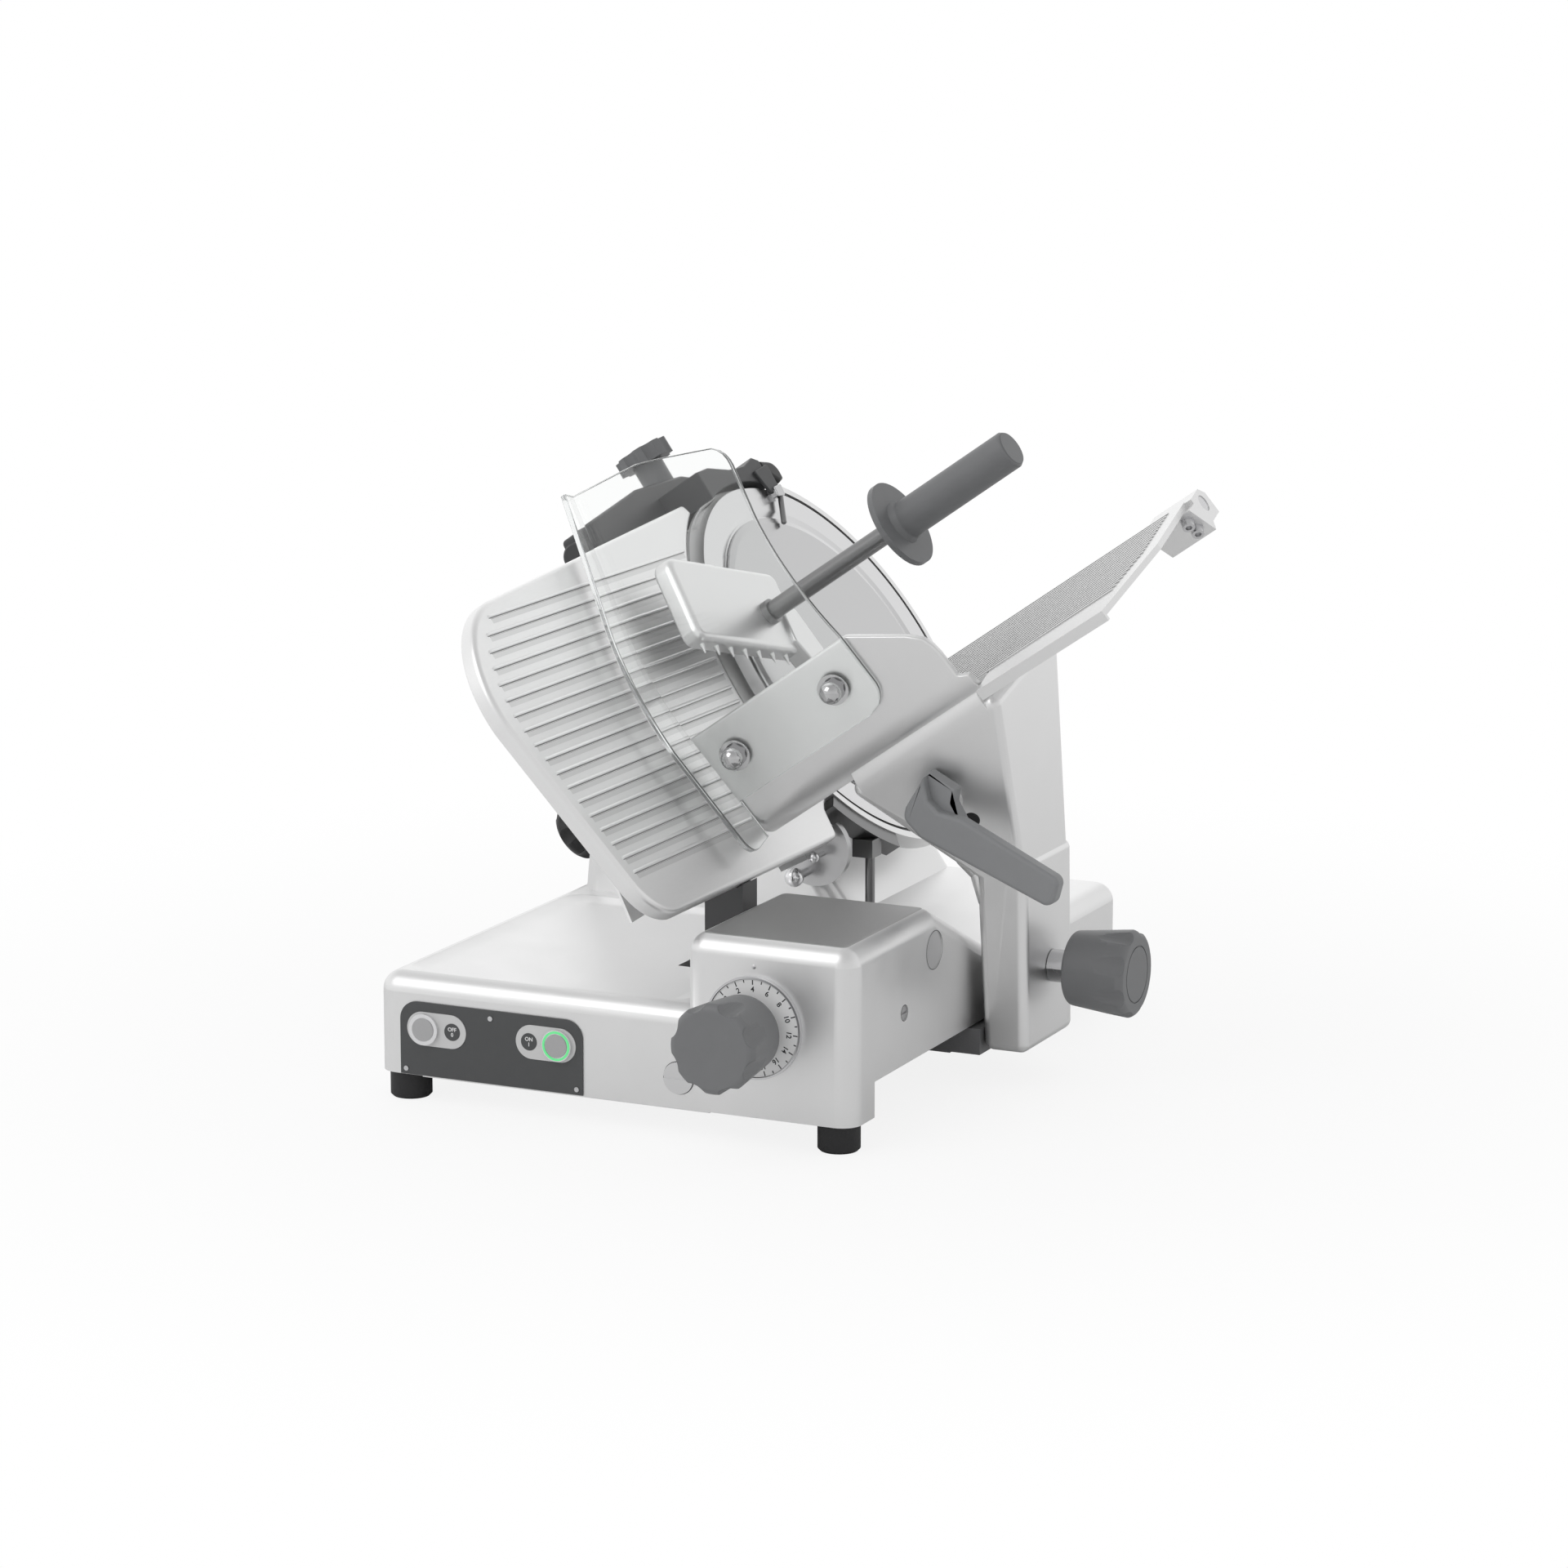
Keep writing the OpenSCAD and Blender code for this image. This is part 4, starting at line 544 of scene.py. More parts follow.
FINISH_OF = {
    "casting_aluminium": ["base_casting", "carriage_arm", "food_tray"],
    "plate_aluminium": ["gauge_plate"],
    "sheet_aluminium": ["pusher_plate", "slice_deflector", "ring_guard", "bottom_plate"],
    "table_aluminium": ["food_table", "table_bracket"],
    "blade_steel": ["blade"],
    "cover_aluminium": ["blade_cover"],
    "polished_steel": ["deflector_pins", "button_housings"],
    "nut_chrome": ["dome_nuts"],
    "plug_steel": ["off_button", "on_button", "deflector_bracket", "side_screw"],
    "cover_steel": ["front_plug", "side_plug"],
    "bright_steel": ["dial_rim", "knob_shaft", "gauge_guide_rods", "blade_hub", "blade_screws",
                     "blade_shaft", "blade_bearings", "motor_pulley", "carriage_rail", "carriage_track",
                     "bracket_screws", "pusher_rail", "pusher_slider", "panel_screws", "foot_screws"],
    "rod_steel": ["pusher_rod", "ring_stay"],
    "grey_plastic": ["thickness_knob", "knob_cap", "lock_knob", "carriage_handle", "pusher_grip",
                     "sharpener_knob"],
    "dark_plastic": ["sharpener_body"],
    "panel_foil": ["control_panel"],
    "black_plastic": ["sharpener_cap", "cover_knob", "cable_gland"],
    "black_rubber": ["feet", "drive_belt"],
    "pale_plastic": ["switch_windows"],
    "white_enamel": ["dial_plate"],
    "green_light": ["on_light_ring"],
    "clear_acrylic": ["hand_guard"],
    "cast_iron": ["slide_block", "bearing_housing"],
    "column_paint": ["gauge_column"],
    "motor_paint": ["motor"],
    "board_green": ["control_board"],
}


class SLICER_OT_finishes(bpy.types.Operator):
    """Makes every finish and gives each CAD node its own"""

    bl_idname = "slicer.finishes"
    bl_label = "Finishes"

    def execute(self, context):
        make_grains()
        self.make_metals(context.scene.slicer_colours)
        self.make_plastics(context.scene.slicer_colours)
        given = set()
        for name, nodes in FINISH_OF.items():
            for node in nodes:
                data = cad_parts[node].data
                data.materials.clear()
                data.materials.append(FINISHES[name])
                given.add(node)
        left = set(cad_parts) - given
        if left:
            raise RuntimeError("no finish for " + ", ".join(sorted(left)))
        return {"FINISHED"}

    def make_metals(self, c):
        """Blasted castings, brushed plates, turned blade and plain steels, some in two or three tones; the
        darker copies of casting, plate and table paint shade and reflection.
        """
        brushed = {"place": frame_of(in_blade), "stretch": (6, 1, 1)}
        drawn = {"place": frame_of(in_tray), "stretch": (1, 1, 8)}
        # The darker copy of the casting is painted reflection: it darkens the housing's top, which mirrors the
        # dark space under the gauge plate.
        for name, share in (("casting_aluminium", 1.0), ("casting_shade", 0.54)):
            make_finish(name, toned(c.casting, share), 1.0, 0.40, scale=1500, tone=0.04, bump=0.10)
        make_finish("sheet_aluminium", c.sheet, 1.0, 0.38, tone=0.04, spread=0.06, bump=0.06, **brushed)
        # The two darker copies of the plate paint a soft shadow below each rib and shade on its lower flank.
        for name, share in (("plate_aluminium", 1.0), ("plate_soft", 0.84), ("plate_shade", 0.42)):
            make_finish(name, toned(c.plate, share), 1.0, 0.40, spread=0.06, bump=0.06, **brushed)
        # The darker copy of the table paints shade on the sides of its ribs.
        for name, share in (("table_aluminium", 1.0), ("table_shade", 0.68)):
            make_finish(name, toned(c.sheet, share), 1.0, 0.42, scale=240, tone=0.02, spread=0.04, bump=0,
                        **drawn)
        for name, share in (("blade_steel", 1.0), ("cover_aluminium", 0.8)):
            make_finish(name, toned(c.blade, share), 1.0, 0.24, "Turned grain", 2500, 0.04, 0.06, 0.04,
                        place=brushed["place"])
        for name, tint, rough, scale, tone, spread, bump in (
                ("polished_steel", c.steel, 0.17, 600, 0.03, 0.04, 0.02),
                ("nut_chrome", (0.55, 0.55, 0.555), 0.10, 600, 0.03, 0.03, 0.01),
                ("cover_steel", (0.68, 0.68, 0.685), 0.36, 700, 0.05, 0.06, 0.03),
                ("plug_steel", (0.46, 0.46, 0.465), 0.30, 700, 0.05, 0.06, 0.03),
                ("bright_steel", (0.62, 0.62, 0.63), 0.28, 700, 0.06, 0.08, 0.04),
                ("rod_steel", (0.25, 0.25, 0.252), 0.34, 700, 0.06, 0.08, 0.04)):
            make_finish(name, tint, 1.0, rough, scale=scale, tone=tone, spread=spread, bump=bump)
        make_finish("cast_iron", (0.20, 0.20, 0.205), 0.6, 0.52, scale=700, tone=0.10, spread=0.08, bump=0.25)
        # A near-black finish for the gauge column.
        make_finish("column_paint", (0.06, 0.06, 0.062), 0.2, 0.46, scale=700, tone=0.08, spread=0.08,
                    bump=0.08)
        make_finish("motor_paint", (0.05, 0.07, 0.10), 0.0, 0.45, scale=700, tone=0.10, bump=0.15)
        make_finish("board_green", (0.03, 0.15, 0.06), 0.0, 0.45, scale=500, tone=0.15, bump=0.10)

    def make_plastics(self, c):
        """Moulded plastics, a lighter grey that paints light on the handle, rubber, enamel, print, the lit ring
        and the clear acrylic with its ground edge, whose whiteness is partly painted highlight.
        """
        for name, tint, rough, scale, tone, spread, bump in (
                ("grey_plastic", c.grey, 0.46, 1500, 0.05, 0.06, 0.12),
                # A lighter copy of the grey plastic paints light on the handle, which is lit more than the
                # knobs.
                ("handle_plastic", toned(c.grey, 1.4), 0.46, 1500, 0.05, 0.06, 0.12),
                ("dark_plastic", c.dark, 0.42, 1500, 0.08, 0.06, 0.10),
                ("panel_foil", c.panel, 0.48, 1800, 0.06, 0.05, 0.06),
                ("black_plastic", c.black, 0.36, 1500, 0.12, 0.06, 0.08),
                ("black_rubber", c.rubber, 0.62, 900, 0.15, 0.08, 0.20),
                ("pale_plastic", (0.62, 0.62, 0.62), 0.40, 1500, 0.03, 0.05, 0.05),
                ("white_enamel", (0.84, 0.84, 0.84), 0.35, 1500, 0.02, 0.05, 0.03),
                ("print_dark", (0.030, 0.030, 0.032), 0.50, 1500, 0.10, 0.05, 0.03),
                ("print_white", (0.80, 0.80, 0.80), 0.50, 1500, 0.03, 0.05, 0.03)):
            make_finish(name, tint, 0.0, rough, "Moulded grain", scale, tone, spread, bump)
        make_finish("green_light", c.light, 0.0, 0.35, "Moulded grain", 900, tone=0.10, bump=0.02, glow=0.2)
        make_finish("clear_acrylic", (0.975, 0.985, 0.98), 0.0, 0.03, scale=60, tone=0.01, spread=0.02, bump=0,
                    clear=1.0)
        # The edge finish is frosted white: partly a ground edge, partly painted highlight of the guard's bright
        # edges.
        make_finish("acrylic_edge", (0.86, 0.88, 0.88), 0.0, 0.16, scale=200, tone=0.04, spread=0.06, bump=0,
                    clear=0.86)


# Pieces


STUB_START, STUB_END = 456.0, 474.6
HOUSING_LOW, HOUSING_BACK = 120.0, 200.0
RIB_SIDE = 1.3
TRAY_AXES = np.array(frame_of(in_tray).to_3x3())


def on_stub(corners):
    """True for a face of the lock knob's stub, between the arm and the fluted end."""
    return STUB_START < corners[:, 0].mean() < STUB_END


def on_housing_top(corners):
    """True for the flat top of the control housing, which gets a darker copy of the casting as painted
    reflection of the dark space under the gauge plate.
    """
    normal = face_normal(corners)
    return (normal[2] > 0.97 * np.linalg.norm(normal) and corners[:, 2].min() > HOUSING_LOW
            and corners[:, 1].max() < HOUSING_BACK)


def on_rib_side(corners):
    """True for the upright sides of the table's ribs, which are low, face across the tray and get painted
    shade.
    """
    normal = face_normal(corners)
    across = abs(normal @ TRAY_AXES[:, 0]) > 0.9 * np.linalg.norm(normal)
    return across and np.ptp(corners @ TRAY_AXES[:, 1]) < RIB_SIDE


class SLICER_OT_castings(bpy.types.Operator):
    """Base, arm and turned nodes as merged copies that shade smoothly"""

    bl_idname = "slicer.castings"
    bl_label = "Castings and knobs"

    def execute(self, context):
        # The housing's top gets the darker casting copy as painted reflection.
        smooth_copy("base_casting", "base", ["casting_aluminium", "casting_shade"], 18,
                    on_housing_top)
        smooth_copy("carriage_arm", "carriage", ["casting_aluminium"], 18)
        smooth_copy("thickness_knob", "thickness_dial", ["grey_plastic"], 38)
        smooth_copy("lock_knob", "lock", ["grey_plastic", "bright_steel"], 38, on_stub)
        smooth_copy("pusher_grip", "pusher", ["grey_plastic"], 38)
        # The table's rib sides get painted shade.
        smooth_copy("food_table", "carriage", ["table_aluminium", "table_shade"], 30,
                    on_rib_side)
        return {"FINISHED"}


PLATE_BACK, PLATE_FRONT, PLATE_POCKET, PLATE_BACK_R = -18.0, -4.0, -10.0, 1.2
BLADE_SIDE_R, POCKET_SIDE_R, RIB_STOP_R = 179.0, 189.0, 185.0
RIB_COUNT, RIB_LOW, RIB_PITCH, RIB_R, RIB_RISE, RIB_SINK = 18, 17.0, 13.2, 1.9, 1.2, 0.4
RIB_MARGIN = ((20, 105), (11.5, 19.5))
RIB_ENDS = ((0, 1.3), (1.2, 0.5), (3.5, 0))
# Finish of each strip of a rib's section: 1 paints a soft shadow on the foot below the rib, 2 paints shade on
# the crest's lower flank.
RIB_PAINTED_SHADE = [0, 1, 2, 2, 2, 0, 0, 0, 0, 0, 0, 0]
LEFT_POINTS = 37


def plate_outlines():
    """The gauge plate's outline and its pocket's, point for point.

    Each goes round the left arc, the low corner, the foot, the side, the arc beside the blade and the top.
    """
    centre = np.array([BLADE_Y, BLADE_V])

    def side(r, foot, start, end):
        """The side beside the blade: up to the circle, along it and on to the top corner."""
        a0 = np.degrees(np.arctan2(*(np.asarray(start) - centre)[::-1])) % 360
        a1 = np.degrees(np.arctan2(*(np.asarray(end) - centre)[::-1])) % 360
        return np.concatenate([line(foot + [start], 6)[:-1], arc(*centre, r, a0, a1, 30)])

    outer = np.concatenate([
        arc(18, 168, 87, 95, 188, 24), arc(14, 21, 46, 192, 270, 12), line([[20, -25], [296, -25]], 8),
        side(BLADE_SIDE_R, [[300, -23], [306, 1]], [317.0, 6.0], [378.9, 269.8]),
        line([[375.6, 276], [373, 278.7]], 3)])
    pocket = np.concatenate([
        arc(18, 168, 74, 95, 188, 24), arc(16, 22, 34, 192, 270, 12), line([[22, -12], [286, -12]], 8),
        side(POCKET_SIDE_R, [[290, -10], [296, 12]], [302.0, 11.0], [349.0, 262.0]),
        line([[347.5, 262.4], [346, 262.4]], 3)])
    return outer - centre, pocket - centre


def rib_section():
    """A rib's section (up the blade, its normal): a thin foot below, which carries painted shadow, and a low
    round crest whose lower flank carries painted shade.
    """
    foot = [[-6.2, PLATE_FRONT - RIB_SINK], [-6.2, PLATE_FRONT + 0.03], [-2.4, PLATE_FRONT + 0.05]]
    crest = arc(0, PLATE_FRONT - RIB_R + RIB_RISE, RIB_R, 160, 20, 7)
    return np.concatenate([foot, crest, [[2, PLATE_FRONT - RIB_SINK]]])


def plate_ribs(outer):
    """The ribs: one section carried from the plate's left side to the blade's arc, sunk at both ends."""
    left = outer[:LEFT_POINTS] + [BLADE_Y, BLADE_V]
    left = left[np.argsort(left[:, 1])]
    ring = rib_section()
    ribs = []
    for i in range(RIB_COUNT):
        v = RIB_LOW + i * RIB_PITCH - BLADE_V
        y0 = np.interp(v + BLADE_V, left[:, 1], left[:, 0]) + np.interp(v, *RIB_MARGIN) - BLADE_Y
        y1 = -math.sqrt(RIB_STOP_R ** 2 - v ** 2)
        ends = [(y0 + d, sink) for d, sink in RIB_ENDS] + [(y1 - d, sink) for d, sink in RIB_ENDS[::-1]]
        ribs.append(loops_to_mesh([np.column_stack([np.full(len(ring), y), v + ring[:, 0], ring[:, 1] - sink])
                                   for y, sink in ends]))
    return ribs


class SLICER_OT_gauge_plate(bpy.types.Operator):
    """Ribbed gauge plate with a rounded rim, a pocket at its back and painted shade under each rib"""

    bl_idname = "slicer.gauge_plate"
    bl_label = "Gauge plate"

    def execute(self, context):
        outer, pocket = plate_outlines()
        r = context.scene.slicer_sizes.plate_round / MM
        a = np.linspace(0, math.pi / 2, 6)
        rows = [at_height(pocket, PLATE_POCKET), at_height(pocket, PLATE_BACK)]
        rows += rim_rings(outer, PLATE_BACK, PLATE_BACK_R, 1, a[::2])
        rows += rim_rings(outer, PLATE_FRONT, r, -1, a[::-1])
        plate, ribs = loops_to_mesh(rows), plate_ribs(outer)
        painted_rib_strips = np.tile(RIB_PAINTED_SHADE, 2 * len(RIB_ENDS) - 1).tolist() + [0, 0]
        parts = outward([plate] + ribs)
        indices = [0] * len(plate[1]) + painted_rib_strips * RIB_COUNT
        make_piece("gauge_plate_skin", moved(joined(parts), in_blade), "gauge",
                   ["plate_aluminium", "plate_soft", "plate_shade"], ["gauge_plate"], indices)
        return {"FINISHED"}


TRAY_START, TRAY_END = 6.0, 234.0
TRAY_T, TRAY_R, TRAY_W, TRAY_WALL, TRAY_ROUND = 7.0, 26.0, 186.0, 102.0, 2.2
WALL_STEPS = [28, 34, 42, 50, 58, 66, 71, 75, 80, 86, 92, 97, 100, 101.4, TRAY_WALL]
WALL_END = ([0, 24, 27, 50, 58, 66, 75, TRAY_WALL - 1, TRAY_WALL],
            [TRAY_END, TRAY_END, 226, 226, 225, 222, 212, 171, 169])
LUG = [[178, -14], [219, -14], [219, 14], [188.2, 14], [188.2, 6.9], [178, 6.9]]
LUG_RADII, LUG_T = [2, 8, 8, 1, 0, 1], 10.0


class SLICER_OT_food_tray(bpy.types.Operator):
    """Tray with a rounded wall, bent from the floor, and the lug of the guide rail"""

    bl_idname = "slicer.food_tray"
    bl_label = "Food tray"

    def execute(self, context):
        bend = np.radians(np.linspace(270, 180, 17))
        bend = np.stack([np.cos(bend), np.sin(bend)], -1)
        floor = np.column_stack([np.linspace(TRAY_W, TRAY_R, 9)[:-1], np.zeros(8)])
        wall = np.column_stack([np.zeros(len(WALL_STEPS)), WALL_STEPS])
        points = np.concatenate([floor, TRAY_R + TRAY_R * bend, wall])
        normals = np.concatenate([np.tile([0, 1], (len(floor), 1)), -bend, np.tile([1, 0], (len(wall), 1))])
        ends = np.interp(points[:, 1], *WALL_END)
        rim = np.where(points[:, 1] > TRAY_WALL - 2, (points[:, 1] - TRAY_WALL + 2) / 2, 0)
        trim = TRAY_T / 2 * (1 - np.sqrt(1 - np.clip(rim, 0, 0.985) ** 2)) * 0.75
        loops = [rim_loop(TRAY_START, end, t, TRAY_T - t, TRAY_ROUND) for end, t in zip(ends, trim)]
        lug = rounded_slab(rounded_outline(LUG, LUG_RADII), TRAY_START, TRAY_START + LUG_T, 1, 1)
        parts = [bent_sheet(points, normals, loops), lug]
        make_piece("food_tray_skin", moved(joined(parts), in_tray), "carriage",
                   ["casting_aluminium"], ["food_tray"])
        return {"FINISHED"}


GUARD_T, GUARD_U, GUARD_RIGHT, GUARD_GAP, GUARD_ROUND = 5.0, 7.0, 169.0, 0.15, 1.6
GUARD_FOOT, GUARD_LOW, GUARD_FLAT = 4.0, 40.0, 105.0
GUARD_BEND, GUARD_BEND_R, GUARD_TOP = 33.0, 174.0, 120.0
FLANGE_W, FLANGE_TAPER, FLANGE_FOOT_R = 40.0, 24.0, 14.0
LOW_CORNER_R, TOP_CORNER_R = 20.0, 22.0
BARE_STATIONS, BEND_STATIONS = 14, 19
GUARD_CLEAR_FACES = [9, 10, 20, 25]


def guard_profile():
    """Stations along the guard: straight up the wall, round the bend and straight over the tray.

    The height of the sheet's low edge comes twice, first without and then with the sheet.
    """
    bend = math.radians(GUARD_BEND)
    a = math.pi - np.linspace(0, bend, BEND_STATIONS)
    up = np.concatenate([np.linspace(GUARD_FOOT, GUARD_LOW, BARE_STATIONS),
                         np.linspace(GUARD_LOW, GUARD_FLAT, 20)[:-1]])
    up = np.column_stack([np.zeros(len(up)), up])
    curve = np.column_stack([GUARD_BEND_R + GUARD_BEND_R * np.cos(a), GUARD_FLAT + GUARD_BEND_R * np.sin(a)])
    far = 1 - np.linspace(1, 0.02, 26)[1:] ** 1.7
    top = curve[-1] + far[:, None] * GUARD_TOP * np.array([math.sin(bend), math.cos(bend)])
    normals = np.concatenate([np.tile([-1.0, 0.0], (len(up), 1)), np.stack([np.cos(a), np.sin(a)], -1),
                              np.tile([-math.cos(bend), math.sin(bend)], (len(far), 1))])
    run = np.concatenate([np.zeros(len(up)), np.linspace(0, 0.5, BEND_STATIONS), 0.5 + 0.5 * far])
    return np.concatenate([up, curve, top]), normals, run


def guard_section(end, width):
    """The guard's L section: a sheet out to its end and a flange of the given width, all corners rounded."""
    r, u0, u1 = GUARD_ROUND, GUARD_U, GUARD_U + GUARD_T
    if end > u1 + 2 * r:
        middle = np.concatenate([arc(end - r, GUARD_T - r, r, 0, 90, 4), [[u1, GUARD_T]]])
    else:
        end = u1
        middle = np.column_stack([np.full(6, u1), np.linspace(GUARD_GAP + r, GUARD_T, 7)[1:]])
    tip = arc(u1 - r, width - r, r, 0, 90, 4), arc(u0 + r, width - r, r, 90, 180, 4)
    heel = arc(u0 + r, GUARD_GAP + r, r, 180, 270, 4)
    return np.concatenate([arc(end - r, GUARD_GAP + r, r, -90, 0, 4), middle, *tip, heel])


class SLICER_OT_hand_guard(bpy.types.Operator):
    """Clear guard: one L section carried along a smooth profile, with clear faces and brighter rims, whose
    whiteness is partly painted highlight
    """

    bl_idname = "slicer.hand_guard"
    bl_label = "Hand guard"

    def execute(self, context):
        points, normals, run = guard_profile()
        high = points[-1, 1]
        low_corner = arc(GUARD_LOW + LOW_CORNER_R, GUARD_RIGHT - LOW_CORNER_R, LOW_CORNER_R, 180, 90, 8)
        top_corner = arc(high - 49, GUARD_RIGHT - 36, TOP_CORNER_R, 90, 10, 8)
        side = np.array([GUARD_FLAT, GUARD_RIGHT]) + [[0, 0], [51, -6], [105, -13]]
        top = [[high - 13, GUARD_U + 88], [high - 7, GUARD_U + 68], [high, GUARD_U + 6]]
        edge = np.concatenate([low_corner, side, top_corner, top])
        ends = np.interp(points[:, 1], edge[:, 0], edge[:, 1])
        ends[:BARE_STATIONS] = 0
        foot = np.clip(GUARD_FOOT + FLANGE_FOOT_R - points[:, 1], 0, FLANGE_FOOT_R)
        widths = FLANGE_W - FLANGE_TAPER * run - FLANGE_FOOT_R + np.sqrt(FLANGE_FOOT_R ** 2 - foot ** 2)
        loops = [guard_section(end, width) for end, width in zip(ends, widths)]
        column = np.ones(len(loops[0]), int)
        column[GUARD_CLEAR_FACES] = 0
        indices = np.tile(column, len(loops) - 1).tolist() + [1, 1]
        guard = moved(bent_sheet(points, normals, loops), in_tray)
        make_piece("hand_guard_skin", guard, "carriage", ["clear_acrylic", "acrylic_edge"],
                   ["hand_guard"], indices)
        return {"FINISHED"}


LINER_IN, LINER_OUT, LINER_WIDE, LINER_BACK, LINER_FRONT = 150.0, 167.0, 175.2, -13.2, -6.6
LINER_SPAN, LINER_STEPS = (120, 124, 210, 214), 180


class SLICER_OT_ring_liner(bpy.types.Operator):
    """Flat ring behind the blade's edge, wider beside the gauge plate: (r cos a, r sin a, z) at each angle a"""

    bl_idname = "slicer.ring_liner"
    bl_label = "Ring liner"

    def execute(self, context):
        a = np.linspace(0, 360, LINER_STEPS, endpoint=False)
        out = np.interp(a, LINER_SPAN, [LINER_OUT, LINER_WIDE, LINER_WIDE, LINER_OUT])
        a, inner = np.radians(a)[:, None], np.full_like(out, LINER_IN)
        r = np.stack([inner, out, out, inner], -1)
        z = np.broadcast_to([LINER_BACK, LINER_BACK, LINER_FRONT, LINER_FRONT], r.shape)
        points = np.stack([r * np.cos(a), r * np.sin(a), z], -1).reshape(-1, 3)
        liner = points, quads(*r.shape, closed=True)
        # The liner's pale matt finish is painted light: it brightens the shaded gap between the gauge plate and
        # the blade.
        make_piece("ring_liner", moved(liner, in_blade), "base", ["pale_plastic"])
        return {"FINISHED"}


BEAD = [[4.4, -11], [3.1, -2], [4.4, 4], [7.2, 8.2], [9, 7.8], [21, 1.2], [21, -1], [8, -3]]
BEAD_START, BEAD_END = 98.0, 227.0
# Place, normal and radius of the black disc that paints the shade of the hole behind the handle.
HOLE_SHADE_PLACE, HOLE_SHADE_NORMAL, HOLE_SHADE_R = (419.7, 200.9, 200.4), (0.219, -0.926, -0.309), 6.5


class SLICER_OT_arm_bead(bpy.types.Operator):
    """Bead in the groove between the arm and the tray's bend, and a black disc behind the handle, painted shade
    of the dark hole there
    """

    bl_idname = "slicer.arm_bead"
    bl_label = "Arm bead"

    def execute(self, context):
        bead = rounded_slab(BEAD, BEAD_START, BEAD_END, 0.8, 0.8)
        make_piece("arm_bead", moved(bead, in_tray), "carriage", ["casting_aluminium"])
        # A black disc stands for the dark hole behind the handle: painted shade.
        turn = np.array(Vector(HOLE_SHADE_NORMAL).to_track_quat("Z", "Y").to_matrix())
        hole_shade = turned([(0.01, -2), (HOLE_SHADE_R, -2), (HOLE_SHADE_R, 0.6), (HOLE_SHADE_R - 0.8, 1.2), (0.01, 1.2)], 32)
        make_piece("arm_stop", moved(hole_shade, lambda p: in_base(p @ turn.T + HOLE_SHADE_PLACE)), "carriage",
                   ["black_rubber"])
        return {"FINISHED"}


def flat_ring(r, width, steps=64):
    """A flat ring of the given inner radius and width in the XY plane."""
    a = np.linspace(0, 2 * math.pi, steps, endpoint=False)
    ring = np.stack([np.cos(a), np.sin(a)], -1)
    points = np.concatenate([at_height(r * ring, 0), at_height((r + width) * ring, 0)])
    return points, [f[::-1] for f in quads(2, steps)]


SEAM, PRINT_LIFT = 0.5, 0.05
SIDE_X = 410.0
FRONT_PLUG = (264, 24, 12.6)
SIDE_PLUGS = ((152, 106, 15.0), (95, 69, 6.0))


class SLICER_OT_plug_seams(bpy.types.Operator):
    """Fine dark seams round the cover plugs of the front and the right side"""

    bl_idname = "slicer.plug_seams"
    bl_label = "Plug seams"

    def execute(self, context):
        x, z, r = FRONT_PLUG
        seams = [moved(flat_ring(r, SEAM), lambda p: on_front(p + [x, z, PRINT_LIFT]))]
        for y, z, r in SIDE_PLUGS:
            seams.append(moved(flat_ring(r, SEAM), lambda p: in_base(np.column_stack(
                [SIDE_X + PRINT_LIFT + p[:, 2], y + p[:, 0], z + p[:, 1]]))))
        make_piece("plug_seams", joined(seams), "base", ["print_dark"], closed=False)
        return {"FINISHED"}


PUSHER_U, PUSHER_T, PUSHER_LOW, PUSHER_H = 17.0, 18.0, 67.0, 76.0
PUSHER_NEAR, PUSHER_REACH = 36.0, 192.0
EYE_U, EYE_R = 20.8, 16.0
SPIKES, SPIKE_START, SPIKE_PITCH, SPIKE_LEN, SPIKE_R = 7, 24.0, 20.0, 9.0, 2.5


class SLICER_OT_pusher(bpy.types.Operator):
    """Pusher plate with well rounded rims, its arm and its row of spikes"""

    bl_idname = "slicer.pusher"
    bl_label = "Pusher plate"

    def execute(self, context):
        r = context.scene.slicer_sizes.pusher_round / MM
        top = PUSHER_LOW + PUSHER_H
        face = rounded_outline([[PUSHER_NEAR, PUSHER_LOW], [PUSHER_REACH, PUSHER_LOW], [PUSHER_REACH, top],
                                [PUSHER_NEAR, top]], [6, 10, 14, 10], 8)
        arm = [[-12, 8], [10, 12], [56, PUSHER_LOW + 8], [56, PUSHER_LOW + 40], [35, PUSHER_LOW + 40]]
        parts = [rounded_slab(face, PUSHER_U, PUSHER_U + PUSHER_T, 3, r),
                 rounded_slab(rounded_outline(arm, 4), EYE_U, EYE_U + PUSHER_T, 2, 2),
                 rounded_slab(arc(0, 0, EYE_R, 0, 352.5, 47), EYE_U, EYE_U + PUSHER_T, 1, 1)]
        spike = turned([(0, 0), (0.5, 0), (SPIKE_R, SPIKE_LEN), (0, SPIKE_LEN)], 16)
        for x in PUSHER_NEAR + SPIKE_START + SPIKE_PITCH * np.arange(SPIKES):
            parts.append(moved(spike, lambda p: np.column_stack(
                [x + p[:, 0], PUSHER_LOW - SPIKE_LEN + 1 + p[:, 2], PUSHER_U + PUSHER_T / 2 + p[:, 1]])))
        make_piece("pusher_plate_skin", moved(joined(outward(parts)), in_pusher), "pusher",
                   ["sheet_aluminium"], ["pusher_plate"])
        return {"FINISHED"}


BAR_BACK, BAR_FRONT, TAB_T = 11.0, 24.0, 14.0
HANDLE_PLACE = (424, 180, 3)


